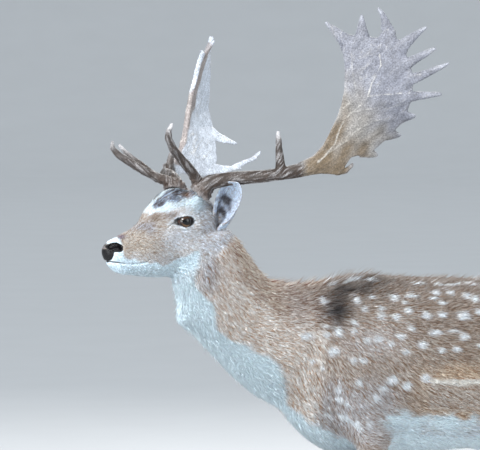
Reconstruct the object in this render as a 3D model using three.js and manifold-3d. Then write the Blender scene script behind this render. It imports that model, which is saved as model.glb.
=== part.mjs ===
// A fallow buck, life size, standing with its head turned a little to its left.
// Millimetres, +Z up. The buck faces -X, its left side is -Y, and the origin is on the floor,
// under the middle of its bounding box. The solids reach to the tips of the coat.
import * as THREE from "three";
import { mergeVertices } from "three/addons/utils/BufferGeometryUtils.js";
import Module from "manifold-3d";

const wasm = await Module();
wasm.setup();

// Driving dimensions
const GAP = 0.3; // between neighbouring solids
const HEAD_YAW = 17; // degrees that the head turns to the buck's left
const HEAD_AT = [-411, -50, 1028]; // the point midway between the eyes
const EYE = { radius: 17.5, forward: 0, aside: 45, up: -5.5 };
const HOOF_TOP = 38; // height of the coronet
const CLAW_OFFSET = 11.3; // from the middle of a foot to the middle of each claw
const FORELEG_CUT = 470; // the foreleg ends and the shoulder begins
const KNEE_CUT = 268;
const HINDLEG_CUT = 480;
const HOCK_CUT = 322;
const LOIN_CUT = 505; // x where the trunk meets the haunches
const RIB_CUT = 150; // x where the shoulders meet the barrel
const STANCE = { foreLeft: -8, foreRight: 26, hindLeft: 14, hindRight: -26 }; // each leg's step along x

const material = (color, roughness) => new THREE.MeshStandardMaterial({ color, roughness, metalness: 0 });
const COAT = material("#a08468", 0.85);
const PALE_COAT = material("#d9d3c6", 0.85);
const HORN = material("#3a332d", 0.45);
const ANTLER = material("#a3937d", 0.6);
const NOSE = material("#1d1b1e", 0.35);
const EYEBALL = material("#1f120a", 0.08);

const [UP, DOWN, REAR, FRONT, LEFT, RIGHT] = [
  [0, 0, 1], [0, 0, -1], [1, 0, 0], [-1, 0, 0], [0, -1, 0], [0, 1, 0],
];

// Closed surfaces

// A closed surface through rings of equal size, with a strip of triangles over each end, facing out. Matched
// cuts both halves of the rings along the same diagonals, so that a twisted blade keeps its thickness.
function surface(rings, matched = false) {
  const m = rings[0].length;
  const last = (rings.length - 1) * m;
  const index = [];
  for (let a = 0; a < last; a++) {
    const b = (a + 1) % m ? a + 1 : a + 1 - m;
    if (matched && a % m >= m / 2) index.push(a, b, a + m, b, b + m, a + m);
    else index.push(a, b, b + m, a, b + m, a + m);
  }
  for (let k = 0; k < m / 2 - 1; k++) {
    const o = m - 1 - k;
    index.push(k, o, k + 1, k + 1, o, o - 1);
    index.push(last + k, last + k + 1, last + o, last + k + 1, last + o - 1, last + o);
  }
  const points = rings.flat();
  let volume = 0;
  for (let i = 0; i < index.length; i += 3) {
    const [a, b, c] = [0, 1, 2].map((k) => points[index[i + k]]);
    volume += a.dot(b.clone().cross(c));
  }
  return new THREE.BufferGeometry().setFromPoints(points).setIndex(volume < 0 ? index.reverse() : index);
}

// A point on a superellipse: square is 2 for an ellipse, more for a box and less for a diamond.
function around(angle, wide, over, under, crown, keel) {
  const [c, s] = [Math.cos(angle), Math.sin(angle)];
  const power = 2 / (s < 0 ? keel : crown);
  const reach = s < 0 ? under : over;
  return [wide * Math.sign(c) * Math.abs(c) ** power, reach * Math.sign(s) * Math.abs(s) ** power];
}

const smooth = (rows) =>
  new THREE.CatmullRomCurve3(rows.map((r) => new THREE.Vector3(...r)), false, "catmullrom");

// A limb or trunk through stations [x, y, z, wide, over, under, crown, keel]: where its middle is, how far it
// reaches to each side, over and under that, and how square its upper and lower halves are. Its rings stand
// across the path, or across a given way. Going down, over is the back.
function loft(stations, { sides, way = null, grow = 0 }) {
  const path = smooth(stations.map((s) => s.slice(0, 3)));
  const reach = smooth(stations.map((s) => s.slice(3, 6)));
  const square = smooth(stations.map((s) => [s[6] ?? 2, s[7] ?? 2, 0]));
  const count = stations.length - 1;
  const rings = [];
  for (let i = 0; i <= count; i++) {
    const t = i / count;
    const along = way ? new THREE.Vector3(...way) : path.getTangent(t);
    const aside = new THREE.Vector3(0, 1, 0).projectOnPlane(along).normalize();
    const up = along.clone().cross(aside);
    const middle = path.getPoint(t).addScaledVector(path.getTangent(t), grow * ((i === count) - (i === 0)));
    const size = reach.getPoint(t).addScalar(grow);
    const shape = square.getPoint(t);
    const ring = [];
    for (let k = 0; k < sides; k++) {
      const angle = (2 * Math.PI * (k + 0.5)) / sides;
      const [a, b] = around(angle, size.x, size.y, size.z, shape.x, shape.y);
      ring.push(middle.clone().addScaledVector(aside, a).addScaledVector(up, b));
    }
    rings.push(ring);
  }
  return surface(rings);
}

// A round swelling: an ellipsoid of these radii about a point.
function swelling([x, y, z], [rx, ry, rz], { grow = 0 } = {}) {
  return new THREE.SphereGeometry(1, 8, 6)
    .scale(rx + grow, ry + grow, rz + grow)
    .translate(x, y, z);
}

// The same stations on the other side of the buck.
const mirrored = (rows) => rows.map(([x, y, ...rest]) => [x, -y, ...rest]);

// Solids

function solid(geometry) {
  const bare = geometry.clone();
  bare.deleteAttribute("normal");
  bare.deleteAttribute("uv");
  const merged = mergeVertices(bare, 1e-3);
  return new wasm.Manifold(
    new wasm.Mesh({
      numProp: 3,
      vertProperties: new Float32Array(merged.attributes.position.array),
      triVerts: new Uint32Array(merged.index.array),
    }),
  );
}

function geometryOf(body) {
  const { vertProperties, triVerts } = body.getMesh();
  const flat = new THREE.BufferGeometry()
    .setAttribute("position", new THREE.BufferAttribute(vertProperties, 3))
    .setIndex(new THREE.BufferAttribute(triVerts, 1))
    .toNonIndexed();
  flat.computeVertexNormals();
  return flat;
}

const joined = (pieces) => pieces.reduce((whole, piece) => whole.add(piece));
const without = (body, pieces) => pieces.reduce((rest, piece) => rest.subtract(piece), body);

// Everything on the far side of a plane, starting half a gap past it.
function beyond(point, normal) {
  const size = 6000;
  const way = new THREE.Vector3(...normal).normalize();
  const turn = new THREE.Quaternion().setFromUnitVectors(new THREE.Vector3(0, 0, 1), way);
  const middle = new THREE.Vector3(...point).addScaledVector(way, size / 2 + GAP / 2);
  return solid(new THREE.BoxGeometry(size, size, size).applyQuaternion(turn).translate(...middle.toArray()));
}

// The biggest body of a solid: what is left when a cut frees a sliver.
function main(body) {
  return body.decompose().reduce((best, b) => (b.volume() > best.volume() ? b : best));
}

// The scene graph

const buck = new THREE.Group();
const head = new THREE.Group();
head.position.set(...HEAD_AT);
head.rotation.z = THREE.MathUtils.degToRad(HEAD_YAW);
buck.add(head);
buck.updateMatrixWorld(true);
const placedInBody = (geometry) => geometry.clone().applyMatrix4(head.matrixWorld);

function add(group, name, shape, surfaceMaterial) {
  const mesh = new THREE.Mesh(shape.isBufferGeometry ? shape : geometryOf(shape), surfaceMaterial);
  mesh.name = name;
  group.add(mesh);
}

// The head, in its own frame: the nose points to -x, and the eyes are at x 0 and z 0

const SKULL = [
  [-168, 0, -65, 6, 8, 10],
  [-165, 0, -66, 15, 16, 20, 2.2, 2.2],
  [-158, 0, -68, 21, 23, 30, 2.3, 2.3],
  [-143, 0, -71, 25, 34, 41, 2, 2.2],
  [-124, 0, -71, 27, 43, 47, 1.8, 2],
  [-100, 0, -66, 31, 49, 55, 1.7, 1.9],
  [-76, 0, -52, 38, 50, 73, 1.8, 1.8],
  [-56, 0, -36, 46, 63, 91, 2, 1.7],
  [-36, 0, -18, 53, 61, 110, 2.1, 1.7],
  [-12, 0, -2, 57, 64, 127, 2.2, 1.6],
  [14, 0, 2, 60, 62, 126, 2.2, 1.6],
  [42, 0, 2, 59, 56, 112, 2.1, 1.9],
  [70, 0, 0, 53, 48, 90],
  [94, 0, -4, 38, 38, 58],
  [108, 0, -8, 16, 16, 24],
];
const PEDICLE = [
  [14, -34, 16, 26, 26, 26],
  [30, -46, 42, 22, 22, 22],
  [40, -52, 57, 19, 19, 19],
];

function headShapes(grow = 0) {
  const shapes = [loft(SKULL, { sides: 16, way: REAR, grow })];
  for (const side of [1, -1]) {
    shapes.push(
      swelling([-4, 40 * side, 12], [30, 20, 17], { grow }), // brow
      swelling([18, 37 * side, -60], [34, 16, 40], { grow }), // cheek
      loft(side < 0 ? PEDICLE : mirrored(PEDICLE), { sides: 8, grow }),
    );
  }
  return shapes;
}

const NOSE_PAD = [
  [-171, 0, -66, 7, 8, 11],
  [-168.5, 0, -66, 15, 14, 20, 2.4, 2],
  [-161, 0, -67, 20, 19, 25, 2.4, 2],
  [-151, 0, -68, 18, 17, 22, 2.4, 2],
];

// An ear's rings: how far along each stands, half its width, the depth of its
// cup, its wall and its wrap in degrees
const EAR_RINGS = [
  [-0.14, 15, 15, 13, 172],
  [0.04, 21, 18, 12, 160],
  [0.2, 28, 20, 6, 125],
  [0.44, 29, 20, 4, 104],
  [0.68, 27, 15, 4, 93],
  [0.88, 19, 9, 4, 86],
  [1, 6, 5, 3.6, 80],
];
const EAR = {
  root: [93, -47, -9], tip: [69, -150, 76], opens: [-0.8, -0.2, -0.5], curl: 10, bow: 7, points: 4,
};

// A cupped shell from root to tip, open towards one side.
function ear(side) {
  const flip = (v) => new THREE.Vector3(v[0], -v[1] * side, v[2]);
  const [root, tip] = [flip(EAR.root), flip(EAR.tip)];
  const along = tip.clone().sub(root);
  const open = flip(EAR.opens).projectOnPlane(along.clone().normalize()).normalize();
  const across = open.clone().cross(along).normalize();
  const rings = EAR_RINGS.map(([t, wide, deep, wall, wrap]) => {
    const arch = Math.sin(Math.PI * Math.max(0, t));
    const middle = root
      .clone()
      .addScaledVector(along, t)
      .addScaledVector(open, -EAR.curl * arch)
      .addScaledVector(across, -EAR.bow * side * arch);
    const arc = (thin) =>
      Array.from({ length: EAR.points + 1 }, (_, k) => {
        const a = THREE.MathUtils.degToRad(wrap) * ((2 * k) / EAR.points - 1);
        return middle
          .clone()
          .addScaledVector(across, (wide - thin) * Math.sin(a))
          .addScaledVector(open, -(deep - thin) * Math.cos(a));
      });
    return [...arc(0), ...arc(wall).reverse()];
  });
  return surface(rings);
}

// The antlers, in the head's frame: each has a beam, tines and a palm, drawn flat and stood at the beam's end.

const BEAM = [
  [37, -49, 52, 22, 22, 22],
  [41, -53, 59, 25, 25, 25],
  [46, -59, 66, 19, 19, 19],
  [54, -72, 77, 15, 16, 15],
  [74, -108, 85, 14, 14, 14],
  [98, -143, 88, 13, 13.5, 13.5],
  [124, -174, 92, 12, 12.5, 12.5],
  [150, -197, 97, 12, 13, 13],
  [181, -213, 103, 12, 14, 14],
  [210, -223, 112, 11, 15, 15],
  [232, -231, 121, 9, 16, 16],
];
const BURR = [41, -51];
const BEAM_OUT = -223; // where the beam has come to its full drop
// Where the beam ends and the palm stands: sweep scales how far back it goes, and drop lowers it.
const beamPath = (side, { sweep, drop }) =>
  BEAM.map(([x, y, z, ...rest]) => {
    const fall = drop * ((y - BURR[1]) / (BEAM_OUT - BURR[1])) ** 2;
    return [BURR[0] + (x - BURR[0]) * sweep, -y * side, z - fall, ...rest];
  });
const beamOf = (side, stand, grow = 0) => loft(beamPath(side, stand), { sides: 8, grow });

// The palm's outline: p runs back from the beam's end and q runs up. Its front edge carries on the beam, and
// its rear edge carries the points.
const PALM_FRONT = [
  [-29, 8], [5, 31], [25, 88], [36, 140], [34, 197], [26, 249], [20, 277],
];
const PALM_HEEL = [
  [-22, -22], [33, -15],
];
const PALM_REAR = [
  [167, 79], [187, 122], [185, 165], [186, 202], [173, 224], [161, 242], [149, 266],
];
const LEFT_HEEL = [
  [63, -22], [66, -8], [65, 5], [84, 19], [114, 26], [133, 33],
];
const RIGHT_HEEL = [
  [60, -24], [96, -28], [126, -26], [136, -8], [138, 12], [144, 40],
];
const PALM_RIBS = 10;
const PALM_SIDES = 6;
const PALM_EDGE = 4.2; // how square the edges are
const LEFT_POINTS = [
  // [root p, q], [bend p, q], [tip p, q, in], half width at the root
  [[66, 236], [24, 274], [-10, 303, 4], 28],
  [[74, 232], [66, 285], [68, 319, 0], 30],
  [[118, 232], [138, 292], [103, 333, -6], 30],
  [[128, 222], [162, 268], [204, 293, -12], 24],
  [[136, 200], [185, 228], [225, 249, -14], 17],
  [[146, 172], [204, 192], [254, 218, -16], 16],
  [[146, 144], [204, 151], [244, 153, -12], 16],
  [[158, 108], [184, 103], [195, 107, -2], 20],
  [[136, 74], [162, 61], [175, 66, 2], 21],
  [[100, 36], [126, 22], [139, 22, 4], 18],
  [[52, -10], [84, -16], [89, 5, 6], 9],
];
const RIGHT_POINTS = [
  [[54, 236], [60, 272], [78, 305, 12], 24],
  [[78, 232], [84, 280], [98, 314, 4], 24],
  [[114, 228], [130, 276], [126, 316, -6], 26],
  [[128, 224], [160, 262], [190, 280, -34], 22],
  [[136, 202], [180, 226], [210, 240, -36], 17],
  [[146, 174], [196, 190], [228, 204, -38], 16],
  [[146, 144], [190, 150], [218, 150, -32], 16],
  [[134, 88], [176, 60], [208, 50, 8], 26],
  [[104, -12], [150, -8], [200, -10, 10], 17],
  [[56, -12], [170, -40], [260, 29, 12], 11],
];
const POINT_TIP = 4.4; // half the width of a point near its end
const POINT_THICK = 3.2; // half its thickness there
const POINT_STEPS = [[0.1, 1], [0.48, 0.38], [0.87, 0], [1, 0]]; // how far along, and how much of its flare is left
const POINT_SIDES = 6;

// Puts the palm's flat drawing in space: it stands at the beam's end, turns outwards as it rises, leans back,
// bows out and in again, and is cupped inwards.
function palmFrame(side, stand) {
  const end = new THREE.Vector3(...beamPath(side, stand).at(-2).slice(0, 3));
  return (p, q, offset = 0) => {
    const rise = THREE.MathUtils.smoothstep(q, 0, 150);
    const [low, high, twist] = stand.turn;
    const turn = low + (high - low) * rise + (twist * Math.max(0, q - 150)) / 100;
    const angle = THREE.MathUtils.degToRad(turn);
    const [c, s] = [Math.cos(angle), Math.sin(angle)];
    const inward = offset + stand.cup * Math.max(0, p) ** 2;
    const out = stand.out * q - stand.bow * q * Math.abs(q);
    return new THREE.Vector3(
      p * c + inward * s + stand.back * q,
      side * (p * s - inward * c + out),
      stand.tall * q,
    ).add(end);
  };
}

const flat = (rows) => smooth(rows.map(([p, q]) => [p, q, 0]));

function blade(at, heel) {
  const [front, rear] = [flat(PALM_FRONT), flat([...PALM_HEEL, ...heel, ...PALM_REAR])];
  const rings = [];
  for (let i = 0; i <= PALM_RIBS; i++) {
    const t = i / PALM_RIBS;
    const [f, r] = [front.getPointAt(t), rear.getPointAt(t)];
    const half = 4.6 + 9.5 * Math.exp(-7 * t);
    const ring = [];
    for (let k = 0; k < PALM_SIDES; k++) {
      const [a, b] = around((2 * Math.PI * (k + 0.5)) / PALM_SIDES, 1, half, half, PALM_EDGE, PALM_EDGE);
      const across = (1 - a) / 2; // 0 at the front edge and 1 at the rear
      const thick = b * (1.25 - 0.5 * across);
      ring.push(at(f.x + (r.x - f.x) * across, f.y + (r.y - f.y) * across, thick));
    }
    rings.push(ring);
  }
  return surface(rings, true);
}

// A tapering point of the palm, flat where it leaves the blade and round at its tip.
function point(at, [root, bend, tip, wide]) {
  const line = new THREE.QuadraticBezierCurve3(
    new THREE.Vector3(...root, 0),
    new THREE.Vector3(...bend, 0),
    new THREE.Vector3(...tip),
  );
  const rings = POINT_STEPS.map(([t, flare]) => {
    const c = line.getPoint(t);
    const way = line.getTangent(t);
    const across = new THREE.Vector2(-way.y, way.x).normalize();
    const close = t === 1 ? 0.5 : 1;
    const half = close * (POINT_TIP + (wide - POINT_TIP) * flare);
    const thick = close * (POINT_THICK + 1.4 * Math.sin(Math.PI * t) - 0.8 * (1 - t));
    return Array.from({ length: POINT_SIDES }, (_, k) => {
      const [a, b] = around((2 * Math.PI * k) / POINT_SIDES, half, thick, thick, 2, 2);
      return at(c.x + across.x * a, c.y + across.y * a, c.z + b);
    });
  });
  return surface(rings);
}

const ANTLERS = {
  left: {
    side: -1,
    stand: {
      sweep: 1, drop: 0, tall: 1, turn: [20, 46, 0], back: 0.1, out: 0.25, bow: 0.0006, cup: 0.0006,
    },
    heel: LEFT_HEEL,
    points: LEFT_POINTS,
    tines: {
      brow: [
        [38, -50, 74, 12, 12, 12],
        [8, -60, 104, 10, 10.5, 10.5],
        [-22, -72, 127, 9, 9.5, 9.5],
        [-50, -84, 150, 8, 8.5, 8.5],
        [-66, -92, 172, 7, 7, 7],
        [-69, -98, 189, 5.5, 5.5, 5.5],
        [-64, -103, 203, 2.4, 2.4, 2.4],
      ],
      trez: [
        [148, -197, 92, 12, 14, 14],
        [144, -200, 118, 9.5, 10.5, 10.5],
        [138, -205, 147, 7, 7.5, 7.5],
        [133, -210, 171, 5.5, 5.5, 5.5],
        [130, -213, 187, 2.4, 2.4, 2.4],
      ],
    },
  },
  right: {
    side: 1,
    stand: {
      sweep: 0.64, drop: 14, tall: 0.9, turn: [20, 47, 5], back: 0.21, out: 0.2, bow: 0.0009, cup: 0.0005,
    },
    heel: RIGHT_HEEL,
    points: RIGHT_POINTS,
    tines: {
      brow: [
        [38, 50, 70, 13, 12, 12],
        [12, 60, 80, 11, 10, 10],
        [-14, 74, 93, 9, 8.5, 8.5],
        [-44, 87, 112, 8, 8, 8],
        [-72, 97, 131, 7, 7, 7],
        [-86, 102, 147, 5.5, 5.5, 5.5],
        [-85, 104, 162, 2.4, 2.4, 2.4],
      ],
      second_brow: [
        [-2, 72, 90, 7, 7, 7],
        [-24, 92, 112, 6.5, 6.5, 6.5],
        [-46, 110, 134, 5.5, 5.5, 5.5],
        [-58, 120, 153, 2.2, 2.2, 2.2],
      ],
      trez: [
        [104, 182, 80, 11, 12, 12],
        [107, 181, 100, 8.5, 9, 9],
        [111, 181, 122, 6.5, 6.5, 6.5],
        [115, 180, 140, 2.4, 2.4, 2.4],
      ],
    },
  },
};

function antler(name, { side, stand, heel, points, tines }, skull) {
  const at = palmFrame(side, stand);
  const whole = joined([
    solid(beamOf(side, stand)),
    solid(blade(at, heel)),
    ...points.map((p) => solid(point(at, p))),
  ]);
  const fork = at(-18, 0);
  const ahead = at(0, 0).sub(fork).toArray();
  add(head, `${name}_palm`, main(whole.intersect(beyond(fork.toArray(), ahead))), ANTLER);
  const beam = whole.intersect(beyond(fork.toArray(), ahead.map((v) => -v)));
  add(head, `${name}_beam`, main(without(beam, skull)), ANTLER);
  const taken = [...skull, solid(beamOf(side, stand, GAP))];
  for (const [tine, stations] of Object.entries(tines)) {
    const cut = main(without(solid(loft(stations, { sides: 6 })), taken));
    add(head, `${name}_${tine}_tine`, cut, ANTLER);
    taken.push(solid(loft(stations, { sides: 6, grow: GAP })));
  }
}

// The neck, the trunk and the tail

const NECK = [
  [-356, -48, 990, 46, 74, 70],
  [-345, -43, 945, 54, 95, 78],
  [-322, -36, 893, 60, 105, 88],
  [-291, -28, 850, 65, 104, 98],
  [-256, -20, 816, 71, 102, 102, 2, 1.9],
  [-216, -13, 785, 78, 114, 116, 2, 1.8],
  [-166, -7, 758, 88, 128, 134, 1.9, 1.8],
  [-110, -3, 742, 100, 146, 150, 1.9, 1.8],
  [-40, 0, 725, 106, 168, 160, 1.8, 1.8],
];
const TRUNK = [
  [-162, 0, 690, 34, 50, 84],
  [-132, 0, 690, 78, 108, 121, 2, 1.9],
  [-85, 0, 690, 102, 177, 165, 1.9, 1.8],
  [-30, 0, 690, 115, 206, 192, 1.8, 1.8],
  [40, 0, 693, 124, 207, 199, 1.8, 1.9],
  [120, 0, 700, 134, 195, 199],
  [252, 0, 700, 151, 188, 193, 2.1, 2.1],
  [395, 0, 705, 149, 180, 179, 2.1, 2.1],
  [480, 0, 720, 135, 169, 166, 2.1, 2],
  [555, 0, 740, 124, 151, 149],
  [615, 0, 753, 111, 131, 123, 1.9, 2],
  [665, 0, 767, 85, 96, 94, 1.9, 2],
  [697, 0, 775, 54, 62, 66],
  [711, 0, 778, 22, 26, 28],
];
const TAIL = [
  [668, 0, 842, 16, 14, 14],
  [700, 0, 842, 18, 13, 13],
  [724, 0, 820, 20, 12, 12],
  [736, 0, 775, 23, 12, 11],
  [739, 0, 720, 24, 11, 10],
  [737, 0, 668, 19, 9, 9],
  [734, 0, 640, 6, 4, 4],
];

// The legs, as the left one of each pair stands

const FORELEG = [
  [34, -46, 846, 18, 44, 30],
  [4, -74, 780, 32, 70, 44],
  [-32, -84, 700, 40, 88, 44],
  [-20, -90, 632, 41, 82, 44],
  [14, -94, 572, 36, 58, 43],
  [24, -95, 520, 31, 43, 37],
  [18, -94, 470, 28, 35, 33],
  [8, -92, 400, 22, 25, 25],
  [2, -90, 330, 17.5, 18, 19],
  [0, -89, 290, 21, 19.5, 20.5, 2.3, 2.5],
  [1, -89, 256, 19, 19, 17.5, 2.2, 2.4],
  [5, -89, 222, 14.5, 16, 13.5],
  [8, -89, 115, 14, 15.5, 12.5],
  [8, -89, 90, 18, 20, 15.5],
  [0, -89, 64, 15.5, 15, 14],
  [-9, -89, 44, 21, 19, 17, 2.2, 2],
  [-14, -89, 30, 22, 20, 18, 2.2, 2],
];
const HINDLEG = [
  [600, -52, 820, 46, 84, 84],
  [596, -70, 745, 60, 112, 106],
  [582, -86, 665, 62, 112, 100],
  [564, -96, 590, 52, 88, 80],
  [562, -98, 530, 40, 62, 58],
  [574, -97, 480, 31, 46, 42],
  [596, -93, 430, 24, 34, 30],
  [622, -89, 385, 19, 27, 24],
  [636, -87, 348, 22, 25, 22, 2.2, 2.2],
  [638, -87, 312, 18, 21, 17.5],
  [634, -87, 200, 12.5, 14, 13],
  [630, -87, 130, 14, 15.5, 13.5],
  [628, -87, 94, 18.5, 20.5, 16],
  [620, -87, 66, 15.5, 15, 14.5],
  [610, -87, 44, 21, 19, 17, 2.2, 2],
  [605, -87, 30, 22, 20, 18, 2.2, 2],
];
// The heel bone and the tendon that runs up from it
const HEEL = [
  [640, -87, 330, 9, 9, 9],
  [655, -87, 366, 10, 11, 12],
  [661, -88, 398, 9, 10, 15],
  [647, -90, 440, 8, 10, 18],
  [627, -94, 500, 12, 14, 20],
  [616, -96, 556, 16, 20, 22],
];
// A claw from its sole up: over is towards the toe
const CLAW = [
  [-20, 0, 0, 9.5, 34, 26, 1.7, 2.6],
  [-18, 0, 12, 10.2, 31, 26, 1.7, 2.6],
  [-14, 0, 26, 10.2, 23, 22, 1.9, 2.4],
  [-10, 0, HOOF_TOP, 9.6, 16, 19, 2, 2.2],
];
const DEWCLAW = [
  [16, 9, 84, 6, 6, 6],
  [29, 10, 75, 6.5, 6.5, 7],
  [35, 11, 61, 2.5, 2.5, 2.5],
];

const stepped = (rows, step, y = 0) => rows.map(([x, ...rest]) => [x + step, rest[0] + y, ...rest.slice(1)]);
// A leg steps from its top down, so that the body stays put.
const LEG_TOP = 560;
const standing = (rows, step) =>
  rows.map(([x, y, z, ...rest]) => {
    const share = THREE.MathUtils.smoothstep(LEG_TOP - z, 0, LEG_TOP * 0.6);
    return [x + step * share, y, z, ...rest];
  });
const HIND_FOOT = 619; // x of a hind foot that takes no step

const LEGS = Object.fromEntries(
  [
    ["fore_left", FORELEG, 0, STANCE.foreLeft, -1],
    ["fore_right", FORELEG, 0, STANCE.foreRight, 1],
    ["hind_left", HINDLEG, HIND_FOOT, STANCE.hindLeft, -1],
    ["hind_right", HINDLEG, HIND_FOOT, STANCE.hindRight, 1],
  ].map(([name, stations, foot, step, side]) => {
    const sided = (rows) => (side < 0 ? standing(rows, step) : mirrored(standing(rows, step)));
    return [name, { rows: sided(stations), foot: foot + step, side, heel: foot ? sided(HEEL) : null }];
  }),
);

function legShapes(grow = 0) {
  return Object.values(LEGS).flatMap(({ rows, heel }) => [
    loft(rows, { sides: 8, grow }),
    ...(heel ? [loft(heel, { sides: 6, grow })] : []),
  ]);
}

const neckShape = (grow = 0) => loft(NECK, { sides: 14, grow });

function bodyShapes(grow = 0) {
  return [
    neckShape(grow),
    loft(TRUNK, { sides: 16, way: REAR, grow }),
    swelling([-384, -38, 822], [21, 18, 32], { grow }), // the voice box
    swelling([342, 0, 506], [58, 15, 38], { grow }), // the sheath under the belly
    swelling([548, 0, 566], [26, 24, 36], { grow }), // the scrotum
  ];
}

// Modelled whole, and parted with thin cuts

const intoHead = head.matrixWorld.clone().invert();
const skull = [...headShapes(GAP), neckShape(GAP).applyMatrix4(intoHead)].map(solid);
const eyeballs = (grow) =>
  [-1, 1].map((side) => {
    const radii = Array(3).fill(EYE.radius);
    return swelling([-EYE.forward, EYE.aside * side, EYE.up], radii, { grow });
  });
const eyes = eyeballs(0);
const sockets = eyeballs(GAP);
const nosePad = solid(loft(NOSE_PAD, { sides: 12, way: REAR }));
const noseRoom = solid(loft(NOSE_PAD, { sides: 12, way: REAR, grow: GAP }));

const flesh = joined([...headShapes().map(placedInBody), ...bodyShapes(), ...legShapes()].map(solid));

const POLL = [-345, -43, 945]; // where the head meets the neck
const NECK_WAY = [0.6, 0.1, -0.79];
const WITHERS = [-148, 0, 750]; // where the neck meets the shoulders
const SHOULDER_WAY = [0.93, 0.06, -0.37];
const back = (way) => way.map((v) => -v);
const cut = (body, ...planes) =>
  main(planes.reduce((rest, [point, way]) => rest.intersect(beyond(point, way)), body));

const faceRooms = [...sockets.map((s) => solid(placedInBody(s))), solid(placedInBody(geometryOf(noseRoom)))];
add(buck, "head", main(without(cut(flesh, [POLL, back(NECK_WAY)]), faceRooms)), COAT);
add(buck, "neck", cut(flesh, [POLL, NECK_WAY], [WITHERS, back(SHOULDER_WAY)]), COAT);
const overKnees = [[0, 0, FORELEG_CUT], UP];
const overHooves = [[0, 0, HOOF_TOP + GAP / 2], UP];
add(buck, "shoulders", cut(flesh, [WITHERS, SHOULDER_WAY], [[RIB_CUT, 0, 0], FRONT], overKnees), COAT);
add(buck, "barrel", cut(flesh, [[RIB_CUT, 0, 0], REAR], [[LOIN_CUT, 0, 0], FRONT], overKnees), COAT);

for (const [side, way] of [["left", LEFT], ["right", RIGHT]]) {
  const rear = [[LOIN_CUT, 0, 0], REAR];
  add(buck, `haunch_${side}`, cut(flesh, rear, [[0, 0, 0], way], [[0, 0, HINDLEG_CUT], UP]), COAT);
  const leg = cut(flesh, [[0, 0, 0], way], [[0, 0, FORELEG_CUT], DOWN], [[RIB_CUT, 0, 0], FRONT]);
  add(buck, `foreleg_${side}_forearm`, cut(leg, [[0, 0, KNEE_CUT], UP]), COAT);
  add(buck, `foreleg_${side}_cannon`, cut(leg, [[0, 0, KNEE_CUT], DOWN], overHooves), PALE_COAT);
  const hind = cut(flesh, [[0, 0, 0], way], [[0, 0, HINDLEG_CUT], DOWN], rear);
  add(buck, `hindleg_${side}_gaskin`, cut(hind, [[0, 0, HOCK_CUT], UP]), COAT);
  add(buck, `hindleg_${side}_cannon`, cut(hind, [[0, 0, HOCK_CUT], DOWN], overHooves), PALE_COAT);
}
const rump = bodyShapes(GAP).map(solid);
add(buck, "tail", main(without(solid(loft(TAIL, { sides: 6 })), rump)), COAT);

const legRooms = legShapes(GAP).map(solid);
for (const [leg, { rows, foot, side }] of Object.entries(LEGS)) {
  const middle = rows.at(-1)[1];
  for (const [claw, way] of [["inner", -side], ["outer", side]]) {
    const hoof = loft(stepped(CLAW, foot, middle + way * CLAW_OFFSET), { sides: 7, way: UP });
    add(buck, `hoof_${leg}_${claw}`, hoof, HORN);
    const spur = stepped(way < 0 ? mirrored(DEWCLAW) : DEWCLAW, foot, middle);
    add(buck, `dewclaw_${leg}_${claw}`, main(without(solid(loft(spur, { sides: 4 })), legRooms)), HORN);
  }
}

["left", "right"].forEach((side, i) => {
  add(head, `eye_${side}`, eyes[i], EYEBALL);
  const rooms = [...skull, solid(beamOf(i ? 1 : -1, ANTLERS[side].stand, GAP))];
  add(head, `ear_${side}`, main(without(solid(ear(i ? 1 : -1)), rooms)), COAT);
  antler(`antler_${side}`, ANTLERS[side], skull);
});
add(head, "nose", nosePad, NOSE);

// The origin is on the floor, under the middle of the box.
const box = new THREE.Box3().setFromObject(buck, true);
const middle = box.getCenter(new THREE.Vector3());
buck.position.set(-middle.x, -middle.y, -box.min.z);

export default buck;
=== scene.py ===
# A fallow buck: one skin over the solids of flesh, a coat of tufts over the skin, and the bare parts.
# Places are worked out in millimetres from the frame, and written to the meshes in metres.
import math

import bmesh
import bpy
import numpy as np
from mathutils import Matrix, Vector
from mathutils.bvhtree import BVHTree
from mathutils.kdtree import KDTree


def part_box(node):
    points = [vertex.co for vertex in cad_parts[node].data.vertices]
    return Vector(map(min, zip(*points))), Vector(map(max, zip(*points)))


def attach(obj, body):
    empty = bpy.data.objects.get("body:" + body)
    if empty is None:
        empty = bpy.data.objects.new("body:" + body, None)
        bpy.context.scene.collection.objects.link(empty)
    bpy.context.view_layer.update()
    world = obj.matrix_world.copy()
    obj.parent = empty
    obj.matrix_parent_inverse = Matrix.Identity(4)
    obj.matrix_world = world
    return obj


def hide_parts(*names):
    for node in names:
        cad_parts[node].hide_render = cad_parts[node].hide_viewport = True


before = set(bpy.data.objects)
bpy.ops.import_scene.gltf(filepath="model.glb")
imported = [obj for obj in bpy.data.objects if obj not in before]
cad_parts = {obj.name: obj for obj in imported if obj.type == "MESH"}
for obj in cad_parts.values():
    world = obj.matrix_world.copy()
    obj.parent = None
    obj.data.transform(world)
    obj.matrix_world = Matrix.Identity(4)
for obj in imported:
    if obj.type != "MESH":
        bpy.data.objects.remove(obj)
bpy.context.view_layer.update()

MM = 0.001
UP = np.array([0.0, 0.0, 1.0])

SIDES = ("left", "right")
LEGS = ("fore_left", "fore_right", "hind_left", "hind_right")
HEAD_NODES = ["head", "nose", "ear_left", "ear_right"]
TRUNK_NODES = ["neck", "shoulders", "barrel", "haunch_left", "haunch_right", "tail"]
LIMB_NODES = [f"foreleg_{side}_{part}" for side in SIDES for part in ("forearm", "cannon")]
LIMB_NODES += [f"hindleg_{side}_{part}" for side in SIDES for part in ("gaskin", "cannon")]
FLESH = HEAD_NODES + TRUNK_NODES + LIMB_NODES
CANNONS = [name for name in LIMB_NODES if name.endswith("cannon")]

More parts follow.
